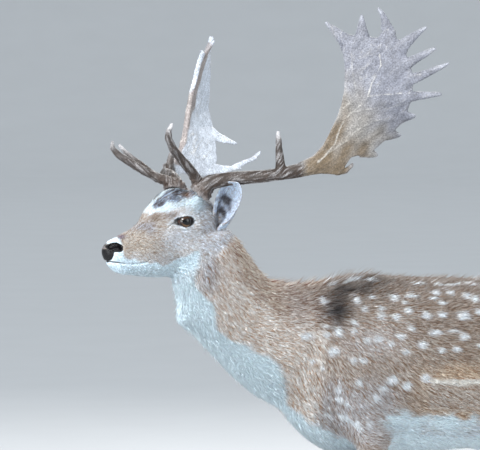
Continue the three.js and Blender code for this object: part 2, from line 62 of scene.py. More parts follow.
HEAD_VOXEL, BODY_VOXEL, ANTLER_VOXEL, HOOF_VOXEL = 2.6, 7.2, 2.1, 2.0
OVERLAP, CANNON_OVERLAP, PALM_OVERLAP = 0.3, 0.9, 0.6  # how far copies grow before they are merged


# Small tools for meshes and arrays

def unit(v):
    return v / np.maximum(np.linalg.norm(v, axis=-1, keepdims=True), 1e-9)


def soft(low, high, x):
    t = np.clip((x - low) / (high - low), 0, 1)
    return t * t * (3 - 2 * t)


def blob(p, middle, radii):
    """1 at the middle, falling smoothly to 0.37 at the radii."""
    return np.exp(-(((p - np.array(middle, float)) / np.array(radii, float)) ** 2).sum(-1))


def to_line(p, line):
    """The distance to a line through points, and how far along it the nearest place is, from 0 to 1."""
    line = np.array(line, float)
    lengths = np.linalg.norm(np.diff(line, axis=0), axis=1)
    starts = np.concatenate([[0], np.cumsum(lengths)])
    best, along = np.full(len(p), 1e9), np.zeros(len(p))
    for a, b, start, length in zip(line[:-1], line[1:], starts, lengths):
        t = np.clip((p - a) @ (b - a) / length**2, 0, 1)
        gap = np.linalg.norm(p - a - t[:, None] * (b - a), axis=1)
        nearer = gap < best
        best[nearer], along[nearer] = gap[nearer], (start + t[nearer] * length) / starts[-1]
    return best, along


def centre(name):
    low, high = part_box(name)
    return (np.array(low) + np.array(high)) / 2 / MM


def points(mesh, what="co"):
    out = np.empty(len(mesh.vertices) * 3, np.float32)
    mesh.vertices.foreach_get(what, out)
    out = out.reshape(-1, 3).astype(float)
    return out / MM if what == "co" else out


def place(mesh, p):
    mesh.vertices.foreach_set("co", (p * MM).astype(np.float32).ravel())
    mesh.update()


def indices(items, of, width):
    out = np.empty(len(items) * width, np.int32)
    items.foreach_get(of, out)
    return out.reshape(-1, width)


class Web:
    """Which vertices are joined, for averages over neighbours."""

    def __init__(self, mesh):
        self.a, self.b = indices(mesh.edges, "vertices", 2).T
        self.count = len(mesh.vertices)
        self.degree = np.bincount(self.a, minlength=self.count) + np.bincount(self.b, minlength=self.count)
        self.degree = np.maximum(self.degree, 1)

    def mean(self, x):
        def total(column):
            there = np.bincount(self.a, column[self.b], self.count)
            return (there + np.bincount(self.b, column[self.a], self.count)) / self.degree

        return total(x) if x.ndim == 1 else np.stack([total(c) for c in x.T], 1)

    def spread(self, x, rounds):
        for _ in range(rounds):
            x = 0.5 * x + 0.5 * self.mean(x)
        return x

    def smoothed(self, p, rounds, weight=1.0, back=0.0):
        """Smooths. With back a little over 1, every round is followed by one that undoes the shrinking."""
        share = np.broadcast_to(np.asarray(weight, float), (len(p),))[:, None]
        for _ in range(rounds):
            p = p + 0.5 * share * (self.mean(p) - p)
            if back:
                p = p - 0.5 * back * share * (self.mean(p) - p)
        return p


def tinted(mesh, name, colours):
    """Writes a colour to each vertex."""
    colours = np.concatenate([np.clip(colours, 0, 1), np.ones((len(colours), 1))], 1).astype(np.float32)
    mesh.attributes.new(name, "FLOAT_COLOR", "POINT").data.foreach_set("color", colours.ravel())


def object_of(name, mesh):
    piece = bpy.data.objects.new(name, mesh)
    bpy.context.scene.collection.objects.link(piece)
    return piece


def mesh_of(name, shape):
    """A mesh of what was being edited, which is closed."""
    mesh = bpy.data.meshes.new(name)
    shape.to_mesh(mesh)
    shape.free()
    return mesh


def finished(name, mesh, material, slot, *nodes):
    """A piece of the buck, in place of these nodes."""
    mesh.name = name
    mesh.materials.clear()
    mesh.materials.append(material)
    mesh.shade_smooth()
    piece = object_of(name, mesh)
    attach(piece, "root")
    if nodes:
        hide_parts(*nodes)
    return piece


def merged_copy(name, grow):
    copy = bmesh.new()
    copy.from_mesh(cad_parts[name].data)
    bmesh.ops.remove_doubles(copy, verts=copy.verts, dist=1e-5)
    copy.normal_update()
    for v in copy.verts:
        v.co += v.normal * grow * MM
    return copy


def remeshed(nodes, voxel, overlaps=None):
    """One even mesh round several nodes, grown a little so that neighbours meet."""
    whole = bmesh.new()
    for name in nodes:
        mesh = mesh_of("copy", merged_copy(name, (overlaps or {}).get(name, OVERLAP)))
        whole.from_mesh(mesh)
        bpy.data.meshes.remove(mesh)
    mesh = mesh_of("whole", whole)
    piece = object_of("whole", mesh)
    modifier = piece.modifiers.new("voxels", "REMESH")
    modifier.mode, modifier.voxel_size = "VOXEL", voxel * MM
    result = bpy.data.meshes.new_from_object(piece.evaluated_get(bpy.context.evaluated_depsgraph_get()))
    bpy.data.objects.remove(piece)
    bpy.data.meshes.remove(mesh)
    return result


def tree_of(mesh):
    """For the nearest place on a mesh, in millimetres."""
    faces = indices(mesh.loop_triangles, "vertices", 3)
    return BVHTree.FromPolygons(points(mesh).tolist(), faces.tolist())


def nearest(tree, p):
    """The nearest places, the normals there and the faces they are on."""
    spots, ways, faces = np.empty_like(p), np.empty_like(p), np.empty(len(p), np.int64)
    for i, q in enumerate(p.tolist()):
        spot, way, face, _ = tree.find_nearest(q)
        spots[i], ways[i], faces[i] = spot, way, face
    return spots, ways, faces


# The head's own frame: ahead, left and up from a point a little over the middle between the eyes

EYES = {side: centre(f"eye_{side}") for side in SIDES}
EYE_RADIUS = (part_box("eye_left")[1][2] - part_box("eye_left")[0][2]) / 2 / MM
EYE_DROP = 5.5
HEAD_LEFT = unit(EYES["left"] - EYES["right"])
HEAD_AXES = np.array([np.cross(HEAD_LEFT, UP), HEAD_LEFT, UP])
HEAD_AT = (EYES["left"] + EYES["right"]) / 2 + EYE_DROP * UP


def into_head(p):
    return (p - HEAD_AT) @ HEAD_AXES.T


def from_head(q):
    return np.asarray(q, float) @ HEAD_AXES + HEAD_AT


def folded(q):
    """The same place on the left side."""
    return np.stack([q[:, 0], np.abs(q[:, 1]), q[:, 2]], 1)


# Where the body's parts run. The neck's line goes from the poll to the chest.
NECK_LINE = [from_head([-62, 12, -28]), from_head([-84, 13, -128])]
NECK_LINE += [[-360, -78, 804], [-270, -66, 755], [-170, -58, 722]]
NECK_FRONT = np.array([-1.0, -0.12, 0.0])  # which way the throat faces
CHEST_DEPTH = -55.0  # y of the body's middle plane
TRUNK_AXIS, TRUNK_RADIUS = 700, 165  # the height that the trunk's girth is measured round, and its radius
TAIL_ROOT = np.array([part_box("tail")[0][0] / MM + 10, CHEST_DEPTH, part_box("tail")[1][2] / MM - 10])
TAIL_TIP = np.array([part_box("tail")[1][0] / MM - 8, CHEST_DEPTH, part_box("tail")[0][2] / MM])


# The skin

def flesh_tree():
    """All the solids of flesh, for the nearest place, and the number of the node of each triangle."""
    corners, faces, numbers, first = [], [], [], 0
    for number, name in enumerate(FLESH):
        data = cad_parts[name].data
        data.calc_loop_triangles()
        triangles = indices(data.loop_triangles, "vertices", 3)
        corners.append(points(data))
        faces.append(triangles + first)
        numbers.append(np.full(len(triangles), number))
        first += len(corners[-1])
    tree = BVHTree.FromPolygons(np.vstack(corners).tolist(), np.vstack(faces).tolist())
    return tree, np.concatenate(numbers)


FLESH_TREE, FLESH_TREE_OWNERS = flesh_tree()


def by_node(values):
    """A number for each node of flesh. A key is the start or the end of some nodes' names."""
    table = np.zeros(len(FLESH))
    for key, value in values.items():
        table[[i for i, name in enumerate(FLESH) if name.startswith(key) or name.endswith(key)]] = value
    return table


def owners(p):
    return FLESH_TREE_OWNERS[nearest(FLESH_TREE, p)[2]]


# How much of a full smoothing each node gets, in the fine skin of the head and in the body's
HEAD_SMOOTHING = {"head": 0.3, "nose": 0.2, "neck": 1.0}
BODY_SMOOTHING = {
    "neck": 0.3, "shoulders": 0.8, "barrel": 1.0, "haunch": 0.9, "tail": 0.12,
    "forearm": 0.2, "gaskin": 0.2, "cannon": 0.09,
}
# How far the skin lies inside the coat's tips
COAT_DEPTH = {
    "head": 3.0, "nose": 0.6, "ear_": 0.5, "neck": 8.0, "shoulders": 9.0, "barrel": 10.0, "haunch": 9.0,
    "tail": 5.0, "forearm": 4.0, "gaskin": 3.0, "cannon": 2.0,
}
EAR_ROOT = 14.0  # how far an ear's root is drawn into the head
DEPTH_BLEND = 1500  # how widely the coat's depth runs over from node to node
PULL_BACK = 12  # the most that smoothed skin is pushed out again, towards the solids


def base_skin(nodes, voxel, rounds, smoothing, slender=()):
    """Smooth skin inside some nodes by the coat's depth. Slender nodes get twice as fine a mesh."""
    mesh = remeshed(nodes, voxel, {name: CANNON_OVERLAP for name in slender})
    for name in slender:
        low, high = (np.array(corner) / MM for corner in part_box(name))
        refine(mesh, lambda p: ((p > low - 1) & (p < high + 1)).all(1))
    web, p = Web(mesh), points(mesh)
    weight = web.spread(by_node(smoothing)[owners(p)], 8)
    place(mesh, web.smoothed(p, rounds, weight))
    p, way = points(mesh), points(mesh, "normal")
    depth = web.spread(by_node(COAT_DEPTH)[owners(p)], round(DEPTH_BLEND / voxel**1.5))
    spot, _, _ = nearest(FLESH_TREE, p)
    outside = ((p - spot) * way).sum(1)
    correction = web.spread(np.clip(-outside, -2, PULL_BACK), 120)
    place(mesh, p + (correction - depth)[:, None] * way)
    return mesh


def ear_line(side):
    """From an ear's root to its tip."""
    name = f"ear_{side}"
    p = points(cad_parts[name].data)
    off = np.linalg.norm(p - HEAD_AT, axis=1)
    return p[off < off.min() + 22].mean(0), p[off > off.max() - 6].mean(0)


def ear_skin(side):
    copy = merged_copy(f"ear_{side}", -COAT_DEPTH["ear_"])
    bmesh.ops.subdivide_edges(copy, edges=copy.edges[:], cuts=2, use_grid_fill=True)
    bmesh.ops.triangulate(copy, faces=copy.faces[:])
    mesh = mesh_of("ear", copy)
    web, p = Web(mesh), points(mesh)
    root, tip = ear_line(side)
    _, along = to_line(p, [root, tip])
    p = web.smoothed(p, 10, 0.8, 1.02)
    place(mesh, p + ((1 - soft(0.02, 0.2, along)) * EAR_ROOT)[:, None] * unit(root - tip))
    return mesh


# The face. Each dab swells or hollows the skin: middle (ahead, aside, up), radii, how far out.
DABS = [
    ((26, 48, -9), (13, 9, 8), -2.2),  # in front of the eye
    ((2, 52, 22), (22, 12, 8), 2.0),  # the brow over the eye
    ((-2, 56, -33), (26, 9, 8), 1.2),  # the cheekbone
    ((45, 38, -42), (26, 9, 10), 1.6),  # where the cheekbone runs into the muzzle
    ((-22, 52, -70), (26, 14, 30), 2.4),  # the jaw muscle
    ((98, 30, -50), (28, 9, 14), -1.8),  # the side of the muzzle
    ((70, 8, 2), (34, 10, 10), -1.2),  # the bridge of the nose
    ((140, 24, -76), (16, 9, 10), 1.8),  # the upper lip
    ((150, 17, -49), (11, 8, 5), 2.0),  # the wing of the nostril
    ((138, 12, -112), (16, 14, 9), 1.6),  # the chin
    ((60, 12, 42), (20, 22, 12), 1.2),  # the forehead
]
FLAT = np.array([1.0, 0.2, 1.0])  # lines on the face are measured from the side
NOSTRIL = FLAT * [(162, 12.5, -58), (156, 18, -54.5), (147, 21, -53.5), (140, 23.5, -57), (141, 24, -61)]
MOUTH = FLAT * [
    (168, 0, -88), (160, 12, -88), (143, 22, -90), (122, 26, -93), (98, 29, -93.5), (78, 33, -90),
    (73, 34, -86),
]
TEAR = FLAT * [(16, 57, -5), (26, 54, -9), (35, 52, -15)]
PHILTRUM = FLAT * [(173, 0, -70), (170, 0, -80), (166, 0, -88)]
NOSE_AT = np.array([155, 12, -66])
EYE_SLIT = {"half": 17.0, "over": 8.9, "under": 9.8}
EYE_DROOP = -0.03  # how far an eye looks down
EYEBALL = EYE_RADIUS - 0.5
LID = 1.3  # how far the lids stand out from the eyeball
ORBIT = 14.0  # the skin's distance from the eye's middle, in the slit between the lids


def eye_axes(side):
    """Towards the nose, up and out, from an eye's middle."""
    sign = 1 if side == "left" else -1
    out, nose = unit(np.array([0, sign, EYE_DROOP]) @ HEAD_AXES), unit(HEAD_AXES[0])
    return np.array([nose, unit(np.cross(nose, out) * sign), out])


def past_lids(p, side):
    """How far outside the opening between the lids a place is, and its place on the eye's axes."""
    q = (p - EYES[side]) @ eye_axes(side).T
    a, b = q[:, 0], q[:, 1]
    tall = np.where(b > 0, EYE_SLIT["over"], EYE_SLIT["under"])
    grade = ((np.abs(a) / EYE_SLIT["half"]) ** 1.35 + (np.abs(b) / tall) ** 1.9) ** (1 / 1.6)
    return np.hypot(a, b) * (1 - 1 / np.maximum(grade, 0.05)), q


def shape_lids(p, side):
    past, q = past_lids(p, side)
    radius = np.linalg.norm(q, axis=1)
    over = q[:, 1] > 0
    crease = -1.0 * np.exp(-(((past - 6.0) / 1.2) ** 2)) * over
    wanted = ORBIT + (EYEBALL + LID - ORBIT) * soft(-1.3, 0.4, past) + 0.8 * soft(0.4, 5, past) + crease
    share = (1 - soft(3, 15, past)) * soft(-6, 0, q[:, 2]) * (radius < 45)
    moved = EYES[side] + (p - EYES[side]) * (wanted / np.maximum(radius, 1))[:, None]
    return p + share[:, None] * (moved - p)


def refine(mesh, inside):
    """Splits every edge between two vertices that are inside."""
    whole = bmesh.new()
    whole.from_mesh(mesh)
    flags = inside(points(mesh))
    edges = [e for e in whole.edges if flags[e.verts[0].index] and flags[e.verts[1].index]]
    bmesh.ops.subdivide_edges(whole, edges=edges, cuts=1, use_grid_fill=True)
    bmesh.ops.triangulate(whole, faces=[f for f in whole.faces if len(f.verts) > 4])
    whole.to_mesh(mesh)
    whole.free()


def near_features(p, eye_reach, nose_reach):
    q = folded(into_head(p))
    eye = np.min([np.linalg.norm(p - EYES[side], axis=1) for side in SIDES], 0) < eye_reach
    nose = np.linalg.norm(q - NOSE_AT, axis=1) < nose_reach
    return eye | nose


def groove(p, q, line, radius, depth, way, near=(48, 40)):
    """Sinks a line on the face. Near says how far from the middle it fades."""
    gap, _ = to_line(q * FLAT, line)
    return p + (np.exp(-((gap / radius) ** 2)) * depth * soft(*near, q[:, 1]))[:, None] * way


def dabbed(p, q, way, dabs):
    for middle, radii, out in dabs:
        p = p + (blob(q, middle, radii) * out)[:, None] * way
    return p


def sculpt_head(mesh):
    refine(mesh, lambda p: near_features(p, 27, 30))
    refine(mesh, lambda p: near_features(p, 21.5, 0))
    web, p = Web(mesh), points(mesh)
    p = web.smoothed(p, 6, near_features(p, 27, 30) * 0.6)
    place(mesh, p)
    way, q = points(mesh, "normal"), folded(into_head(p))
    p = dabbed(p, q, way, DABS)
    p = groove(p, q, MOUTH, 1.9, -2.4, way)
    p = groove(p, q, TEAR, 2.0, -2.2, way, (30, 40))
    p = groove(p, q, PHILTRUM, 1.3, -1.2, way)
    inward = unit(np.stack([-0.55 + 0 * q[:, 0], -0.8 * np.sign(into_head(p)[:, 1]), 0.1 + 0 * q[:, 0]], 1))
    gap, along = to_line(q * FLAT, NOSTRIL)
    hole = 1 - soft(0.4, 1.0, gap / (3.4 + 2.6 * np.sin(math.pi * np.clip(along * 0.8 + 0.2, 0, 1))))
    p = p + (hole * 8.0)[:, None] * (inward @ HEAD_AXES)
    place(mesh, p)
    for side in SIDES:
        p = shape_lids(p, side)
    p = web.smoothed(p, 2, near_features(p, 30, 30) * 0.35)
    place(mesh, p)


# The body. The same kind of dabs, on places with y measured from the middle plane outwards.
BODY_DABS = [
    ((-150, 130, 720), (40, 60, 90), 5.0),  # the shoulder blade's front edge
    ((-40, 130, 760), (30, 60, 70), -3.0),  # behind the shoulder blade
    ((-30, 140, 610), (24, 60, 60), -5.0),  # behind the elbow
    ((430, 60, 845), (26, 22, 20), 5.0),  # the hip bone
    ((360, 150, 700), (50, 60, 60), -6.0),  # the hollow of the flank
    ((560, 150, 640), (70, 60, 90), 4.0),  # the thigh
    ((130, 0, 897), (260, 18, 20), 2.0),  # the spine
    ((-462, 20, 814), (34, 44, 32), 8.0),  # the voice box
    ((-420, 20, 768), (60, 50, 50), 4.0),  # the throat under it
]


def sculpt_body(mesh):
    p, way = points(mesh), points(mesh, "normal")
    q = np.stack([p[:, 0], np.abs(p[:, 1] - CHEST_DEPTH), p[:, 2]], 1)
    place(mesh, dabbed(p, q, way, BODY_DABS))


NECK_CUT, NECK_CUT_WAY = from_head([-89, 13, -135]), unit(np.array([-0.6, 0.08, -0.79]) @ HEAD_AXES)
SEAM = 16  # how far from the cut the smoothing falls off


def stitched(head, body):
    """Cuts both across the neck and joins them into one skin."""
    whole = bmesh.new()
    for mesh, keep in ((head, -1), (body, 1)):
        part = bmesh.new()
        part.from_mesh(mesh)
        bmesh.ops.bisect_plane(
            part, geom=part.verts[:] + part.edges[:] + part.faces[:], plane_co=Vector(NECK_CUT * MM),
            plane_no=Vector(NECK_CUT_WAY), clear_inner=keep > 0, clear_outer=keep < 0,
        )
        part.to_mesh(mesh)
        part.free()
        whole.from_mesh(mesh)
    bmesh.ops.bridge_loops(whole, edges=[e for e in whole.edges if e.is_boundary])
    bmesh.ops.recalc_face_normals(whole, faces=whole.faces[:])
    bmesh.ops.triangulate(whole, faces=[f for f in whole.faces if len(f.verts) > 4])
    result = mesh_of("skin", whole)
    web, p = Web(result), points(result)
    at_seam = np.exp(-(((p - NECK_CUT) @ NECK_CUT_WAY / SEAM) ** 2))
    place(result, web.smoothed(p, 40, at_seam))
    return result


def skin_mesh():
    head = base_skin(["head", "nose", "neck", "eye_left", "eye_right"], HEAD_VOXEL, 150, HEAD_SMOOTHING)
    sculpt_head(head)
    body = base_skin(["head"] + TRUNK_NODES + LIMB_NODES, BODY_VOXEL, 60, BODY_SMOOTHING, CANNONS)
    sculpt_body(body)
    skin = stitched(head, body)
    whole = bmesh.new()
    for mesh in (skin, ear_skin("left"), ear_skin("right")):
        whole.from_mesh(mesh)
    whole.to_mesh(skin)
    whole.free()
    return skin


# The markings. Colours are linear, made from the usual 0 to 255 values.

def tint(red, green, blue):
    return (np.array([red, green, blue]) / 255) ** 2.2


TAN, BROWN, BACK_BROWN = tint(178, 160, 141), tint(167, 150, 133), tint(155, 140, 126)
RUST, CREAM, SHOULDER = tint(222, 194, 162), tint(224, 216, 206), tint(204, 188, 171)
NECK, NAPE = tint(255, 240, 221), tint(200, 176, 149)
FACE, FACE_BROWN = tint(214, 211, 208), tint(188, 176, 162)
# The whites lean blue: painted cool shade on white hair
WHITE, BIB, SPOT = tint(226, 243, 254), tint(229, 245, 255), tint(240, 246, 252)
DARK, SOOT, BLACK = tint(50, 45, 44), tint(34, 30, 30), tint(18, 16, 19)


def wobble(p, size, seed=3, waves=9):
    """A smooth random number from about -1 to 1 for each place, whose bumps are of this size."""
    draw = np.random.default_rng(seed)
    turns = unit(draw.normal(size=(waves, 3))) * (2 * math.pi / size) * draw.uniform(0.6, 1.6, (waves, 1))
    phases = draw.uniform(0, 2 * math.pi, waves)
    return np.sin(p @ turns.T + phases).sum(1) / math.sqrt(waves)


def girth(p):
    """How far round the trunk from the spine, in millimetres."""
    return np.arctan2(np.abs(p[:, 1] - CHEST_DEPTH), p[:, 2] - TRUNK_AXIS) * TRUNK_RADIUS


# The white spots of the left shoulder and flank: x, girth, half the length and half the height
SPOTS_LEFT = [
    (-206, 154, 14, 10), (-196, 238, 6, 9), (-175, 262, 6, 10), (-164, 155, 9, 7), (-162, 131, 8, 4),
    (-159, 65, 7, 9), (-155, 408, 8, 6), (-152, 206, 12, 14), (-143, 325, 7, 10), (-139, 354, 8, 7),
    (-135, 150, 10, 14), (-127, 23, 9, 4), (-126, 393, 14, 9), (-122, 358, 9, 6), (-111, 236, 8, 9),
    (-103, 148, 6, 6), (-100, 301, 9, 9), (-100, 394, 12, 9), (-99, 126, 8, 8), (-97, 24, 6, 3),
    (-87, 237, 9, 10), (-85, 72, 7, 9), (-78, 21, 14, 4), (-76, 178, 8, 7), (-75, 386, 8, 6),
    (-73, 93, 7, 6), (-59, 343, 10, 9), (-52, 68, 8, 4), (-52, 175, 12, 9), (-42, 322, 9, 9),
    (-38, 26, 14, 3), (-38, 115, 11, 7), (-36, 96, 8, 5), (-25, 190, 8, 7), (-22, 297, 12, 14),
    (-7, 122, 8, 8), (-3, 77, 9, 8), (-3, 172, 10, 7), (5, 217, 8, 7), (10, 311, 10, 12), (17, 90, 6, 4),
    (21, 111, 9, 7), (23, 156, 8, 7), (37, 76, 15, 5), (44, 199, 10, 9), (50, 289, 10, 12),
    (60, 127, 11, 9), (65, 40, 16, 4), (75, 170, 14, 7), (83, 86, 9, 4), (86, 215, 9, 7), (92, 72, 9, 6),
    (93, 129, 10, 7), (100, 99, 9, 5), (106, 44, 10, 4), (113, 169, 12, 4), (117, 214, 10, 7),
    (124, 74, 8, 6), (130, 45, 12, 4), (136, 185, 10, 9), (141, 135, 14, 10), (151, 42, 9, 3),
    (158, 84, 8, 9), (174, 35, 10, 3), (174, 94, 8, 9), (209, 4, 8, 4),
]


SPOT_SEED = 11
SPOT_ROWS = [42, 78, 96, 124, 152, 178, 212, 240, 306, 348, 392]  # the first row runs along the spine


def make_spots():
    """Spots in loose rows: x, girth, half the length, half the height and side."""
    draw = np.random.default_rng(SPOT_SEED)
    spots = [(*spot, -1) for spot in SPOTS_LEFT]
    for side, start in ((-1, 185), (1, -210)):
        for row, level in enumerate(SPOT_ROWS):
            for x in np.arange(start + 13 * (row % 3), 600, 44 if row else 34):
                x = x + draw.normal() * 8
                long = draw.uniform(6, 10.5) if row else draw.uniform(8, 17)
                middle = level + draw.normal() * (8 if row else 2)
                high = long * draw.uniform(0.6, 1.1)
                rare = draw.uniform() + 0.16 * (x < -20) + 0.2 * (level > 230)
                if rare < 0.84 and not (level > 300 and x > 60) and x < 570:
                    spots.append((x, middle, long, high if row else 3.5, side))
    return np.array(spots)


SPOTS = make_spots()


def spotted(p):
    level, ragged, out = girth(p), 0.16 * wobble(p, 13, 5), np.zeros(len(p))
    for side in (-1, 1):
        mine = np.flatnonzero(np.sign(p[:, 1] - CHEST_DEPTH) == side)
        for x, middle, long, high, _ in SPOTS[SPOTS[:, 4] == side]:
            gap = np.hypot((p[mine, 0] - x) / long, (level[mine] - middle) / high)
            out[mine] = np.maximum(out[mine], 1 - soft(0.75, 1.3, gap + ragged[mine]))
    return out


def neck_place(p):
    """How far down the neck, 0 to 1, how far round it, 1 at the throat and -1 at the nape, and which way
    the neck runs."""
    _, down = to_line(p, NECK_LINE)
    line, steps = np.array(NECK_LINE), np.linspace(0, 1, 40)
    lengths = np.concatenate([[0], np.cumsum(np.linalg.norm(np.diff(line, axis=0), axis=1))])
    axis = np.stack([np.interp(steps, lengths / lengths[-1], c) for c in line.T], 1)
    at = np.stack([np.interp(down, steps, c) for c in axis.T], 1)
    way = unit(np.stack([np.interp(down, steps, c) for c in np.gradient(axis, axis=0).T], 1))
    ahead = unit(NECK_FRONT - (way @ NECK_FRONT)[:, None] * way)
    off = p - at
    off = unit(off - (off * way).sum(1)[:, None] * way)
    return down, (off * ahead).sum(1), way


# The white of the throat and chest: how far down the neck, and how many degrees round from the front
BIB_DOWN = [0.0, 0.13, 0.19, 0.24, 0.29, 0.35, 0.49, 0.57, 0.67, 0.73, 0.79, 0.83, 0.87, 0.92, 1.0]
BIB_TURN = [44, 45, 50, 43, 52, 59, 49, 57, 64, 63, 51, 41, 27, 11, 8]


class Paint:
    """A colour at each place, and how streaky it is there, which layers are painted over."""

    def __init__(self, colour, streak=None, within=1.0):
        self.colour, self.streak, self.within = colour, streak, within

    def __call__(self, mask, tone, streaky=None):
        mask = np.clip(mask * self.within, 0, 1)
        self.colour = self.colour + mask[:, None] * (tone - self.colour)
        if streaky is not None:
            self.streak = self.streak + mask * (streaky - self.streak)


def markings(p):
    """The paint of the body and the neck."""
    head, level, x, z = folded(into_head(p)), girth(p), p[:, 0], p[:, 2]
    ahead, _, up = head.T
    down, front, _ = neck_place(p)
    rough, fine = wobble(p, 60, 1), wobble(p, 22, 2)
    side, on_side = np.abs(p[:, 1] - CHEST_DEPTH), np.stack([x, level], 1)
    paint = Paint(np.tile(BROWN, (len(p), 1)), np.ones(len(p)))
    # the trunk
    paint(soft(150, 230, level + 14 * rough) * soft(-80, 60, x), TAN)
    paint((1 - soft(30, 120, level + 10 * rough)) * soft(-140, 0, x), BACK_BROWN)
    paint(0.8 * soft(235, 275, level + 8 * rough) * soft(-20, 100, x), RUST)
    paint(0.75 * soft(120, -60, x + 20 * rough) * soft(60, 160, level), SHOULDER)
    paint(0.7 * blob(on_side, (-66, 190), (60, 40)), tint(214, 206, 200), 0.8)
    paint(0.6 * soft(270, 340, level + 10 * rough) * soft(20, -40, x), tint(212, 208, 206))
    # the pale line along the flank, and the belly
    under_line = level - (290 + 8 * np.sin(x / 70) - 26 * soft(300, 560, x))
    along_line = soft(54, 66, x) * (1 - soft(560, 620, x))
    paint(0.5 * soft(0, 10, under_line) * (1 - soft(60, 80, under_line)) * along_line, tint(198, 192, 184))
    paint((1 - soft(5, 9.5, np.abs(under_line + 1.5 * fine))) * along_line, tint(240, 236, 228), 0.2)
    belly = soft(372, 392, level + 6 * rough + 6 * fine) * soft(-64, -30, x - 0.5 * (600 - z) + 12 * fine)
    outer_thigh = soft(360, 430, x + 6 * rough) * soft(80, 105, side)
    paint(belly * (1 - outer_thigh), BIB, 0.2)
    # the neck and the chest
    on_neck = (1 - soft(0.94, 1.0, down) * soft(-190, -150, x)) * (x < -120) * (up < 60)
    turn = np.degrees(np.arccos(np.clip(front, -1, 1)))
    paint(on_neck * soft(-128, -215, x + 22 * rough), NECK, 1.1)
    paint(on_neck * soft(112, 156, turn + 8 * rough) * 0.85, NAPE, 1.4)
    paint(on_neck * 0.7 * blob(np.stack([x, z], 1), (-215, 840), (40, 60)), tint(172, 154, 140), 1.3)
    paint(on_neck * 0.7 * blob(head, (-56, 62, -110), (26, 30, 70)), tint(176, 178, 186), 1.2)
    edge = np.interp(down, BIB_DOWN, BIB_TURN)
    paint(on_neck * soft(5, -5, turn - edge + 2.5 * rough) * (ahead < 40), BIB, 0.16)
    paint(soft(438, 458, level + 5 * fine) * soft(-250, -220, x) * (x < 0), BIB, 0.2)
    # the dark of the withers, painted shade mixed with the coat's own darker brown there, and the spots
    shadow, high = on_side + np.stack([6 * fine, 8 * rough], 1), soft(560, 640, z)
    paint(0.5 * high * blob(shadow, (-160, 40), (60, 50)), tint(122, 108, 100), 1.2)
    paint(0.45 * high * blob(shadow, (-152, 100), (28, 40)), tint(112, 104, 104), 1.3)
    paint((1 + 0.15 * fine) * high * blob(shadow, (-128, 88), (27, 40)), DARK, 1.3)
    paint((0.85 + 0.15 * fine) * blob(shadow, (-92, 46), (50, 20)), DARK, 1.2)
    paint(0.55 * blob(shadow, (-40, 30), (60, 22)), DARK, 0.9)
    paint(spotted(p) * soft(-232, -222, x) * (1 - 0.9 * belly), SPOT, 0.3)
    # the legs
    paint(soft(600, 470, z + 12 * rough) * np.maximum(soft(75, 95, side), soft(520, 440, z)), TAN, 0.8)
    paint(soft(460, 160, z) * 0.9, CREAM, 0.6)
    # the rump, and the tail, which is dark on top
    from_tail = blob(np.stack([x, side, z], 1), (660, 0, 760), (60, 75, 110)) + 0.02 * fine
    paint(soft(0.18, 0.3, from_tail), SOOT, 0.5)
    paint(soft(0.3, 0.4, from_tail), WHITE, 0.3)
    tail_line = [TAIL_ROOT - (0, 0, 6), TAIL_ROOT + (30, 0, -40), TAIL_TIP]
    gap, along = to_line(p, tail_line)
    behind = x - np.interp(along, [0, 0.3, 1], [c[0] for c in tail_line])
    paint((1 - soft(28, 40, gap)) * soft(-1, 5, behind) * (1 - soft(9, 14, side)), SOOT, 0.5)
    return paint


# Soft patches on the face: how strong, middle (ahead, aside, up), radii, colour and how streaky
FACE_PATCHES = [
    (0.9, (84, 14, -14), (50, 18, 10), tint(160, 155, 153), 1.1),  # the bridge of the nose
    (1.0, (58, 28, 4), (26, 18, 8), tint(146, 129, 112), 1.1),  # in front of the brow
    (0.8, (28, 50, 9), (18, 10, 6), tint(124, 106, 92), 1.0),
    (0.6, (66, 26, -24), (12, 12, 16), tint(140, 146, 158), 1.5),
    (0.9, (8, 54, -44), (38, 18, 20), tint(236, 240, 246), 0.7),  # under the eye
]
# The bare skin of the nose: lines through it, how far it reaches from them, and how ragged its edge is
NOSE_PAD = [
    (NOSTRIL, (5.8, 7.0), 0.4),
    (FLAT * [(158, 14, -62), (162, 10, -80)], (4.5, 5.5), 0.3),
    (FLAT * [(158, 14, -63), (142, 22, -63)], (4.6, 5.8), 0.3),
]
# Where the white of the jaw begins, and the whorl of the forehead: ahead and up
JAW_EDGE = ([-40, -25, -3, 38, 79, 126, 160], [-62, -72, -82, -101, -89, -83, -80])
WHORL_EDGE = ([-30, -10, 12, 36, 56], [50, 45, 38, 28, 20])


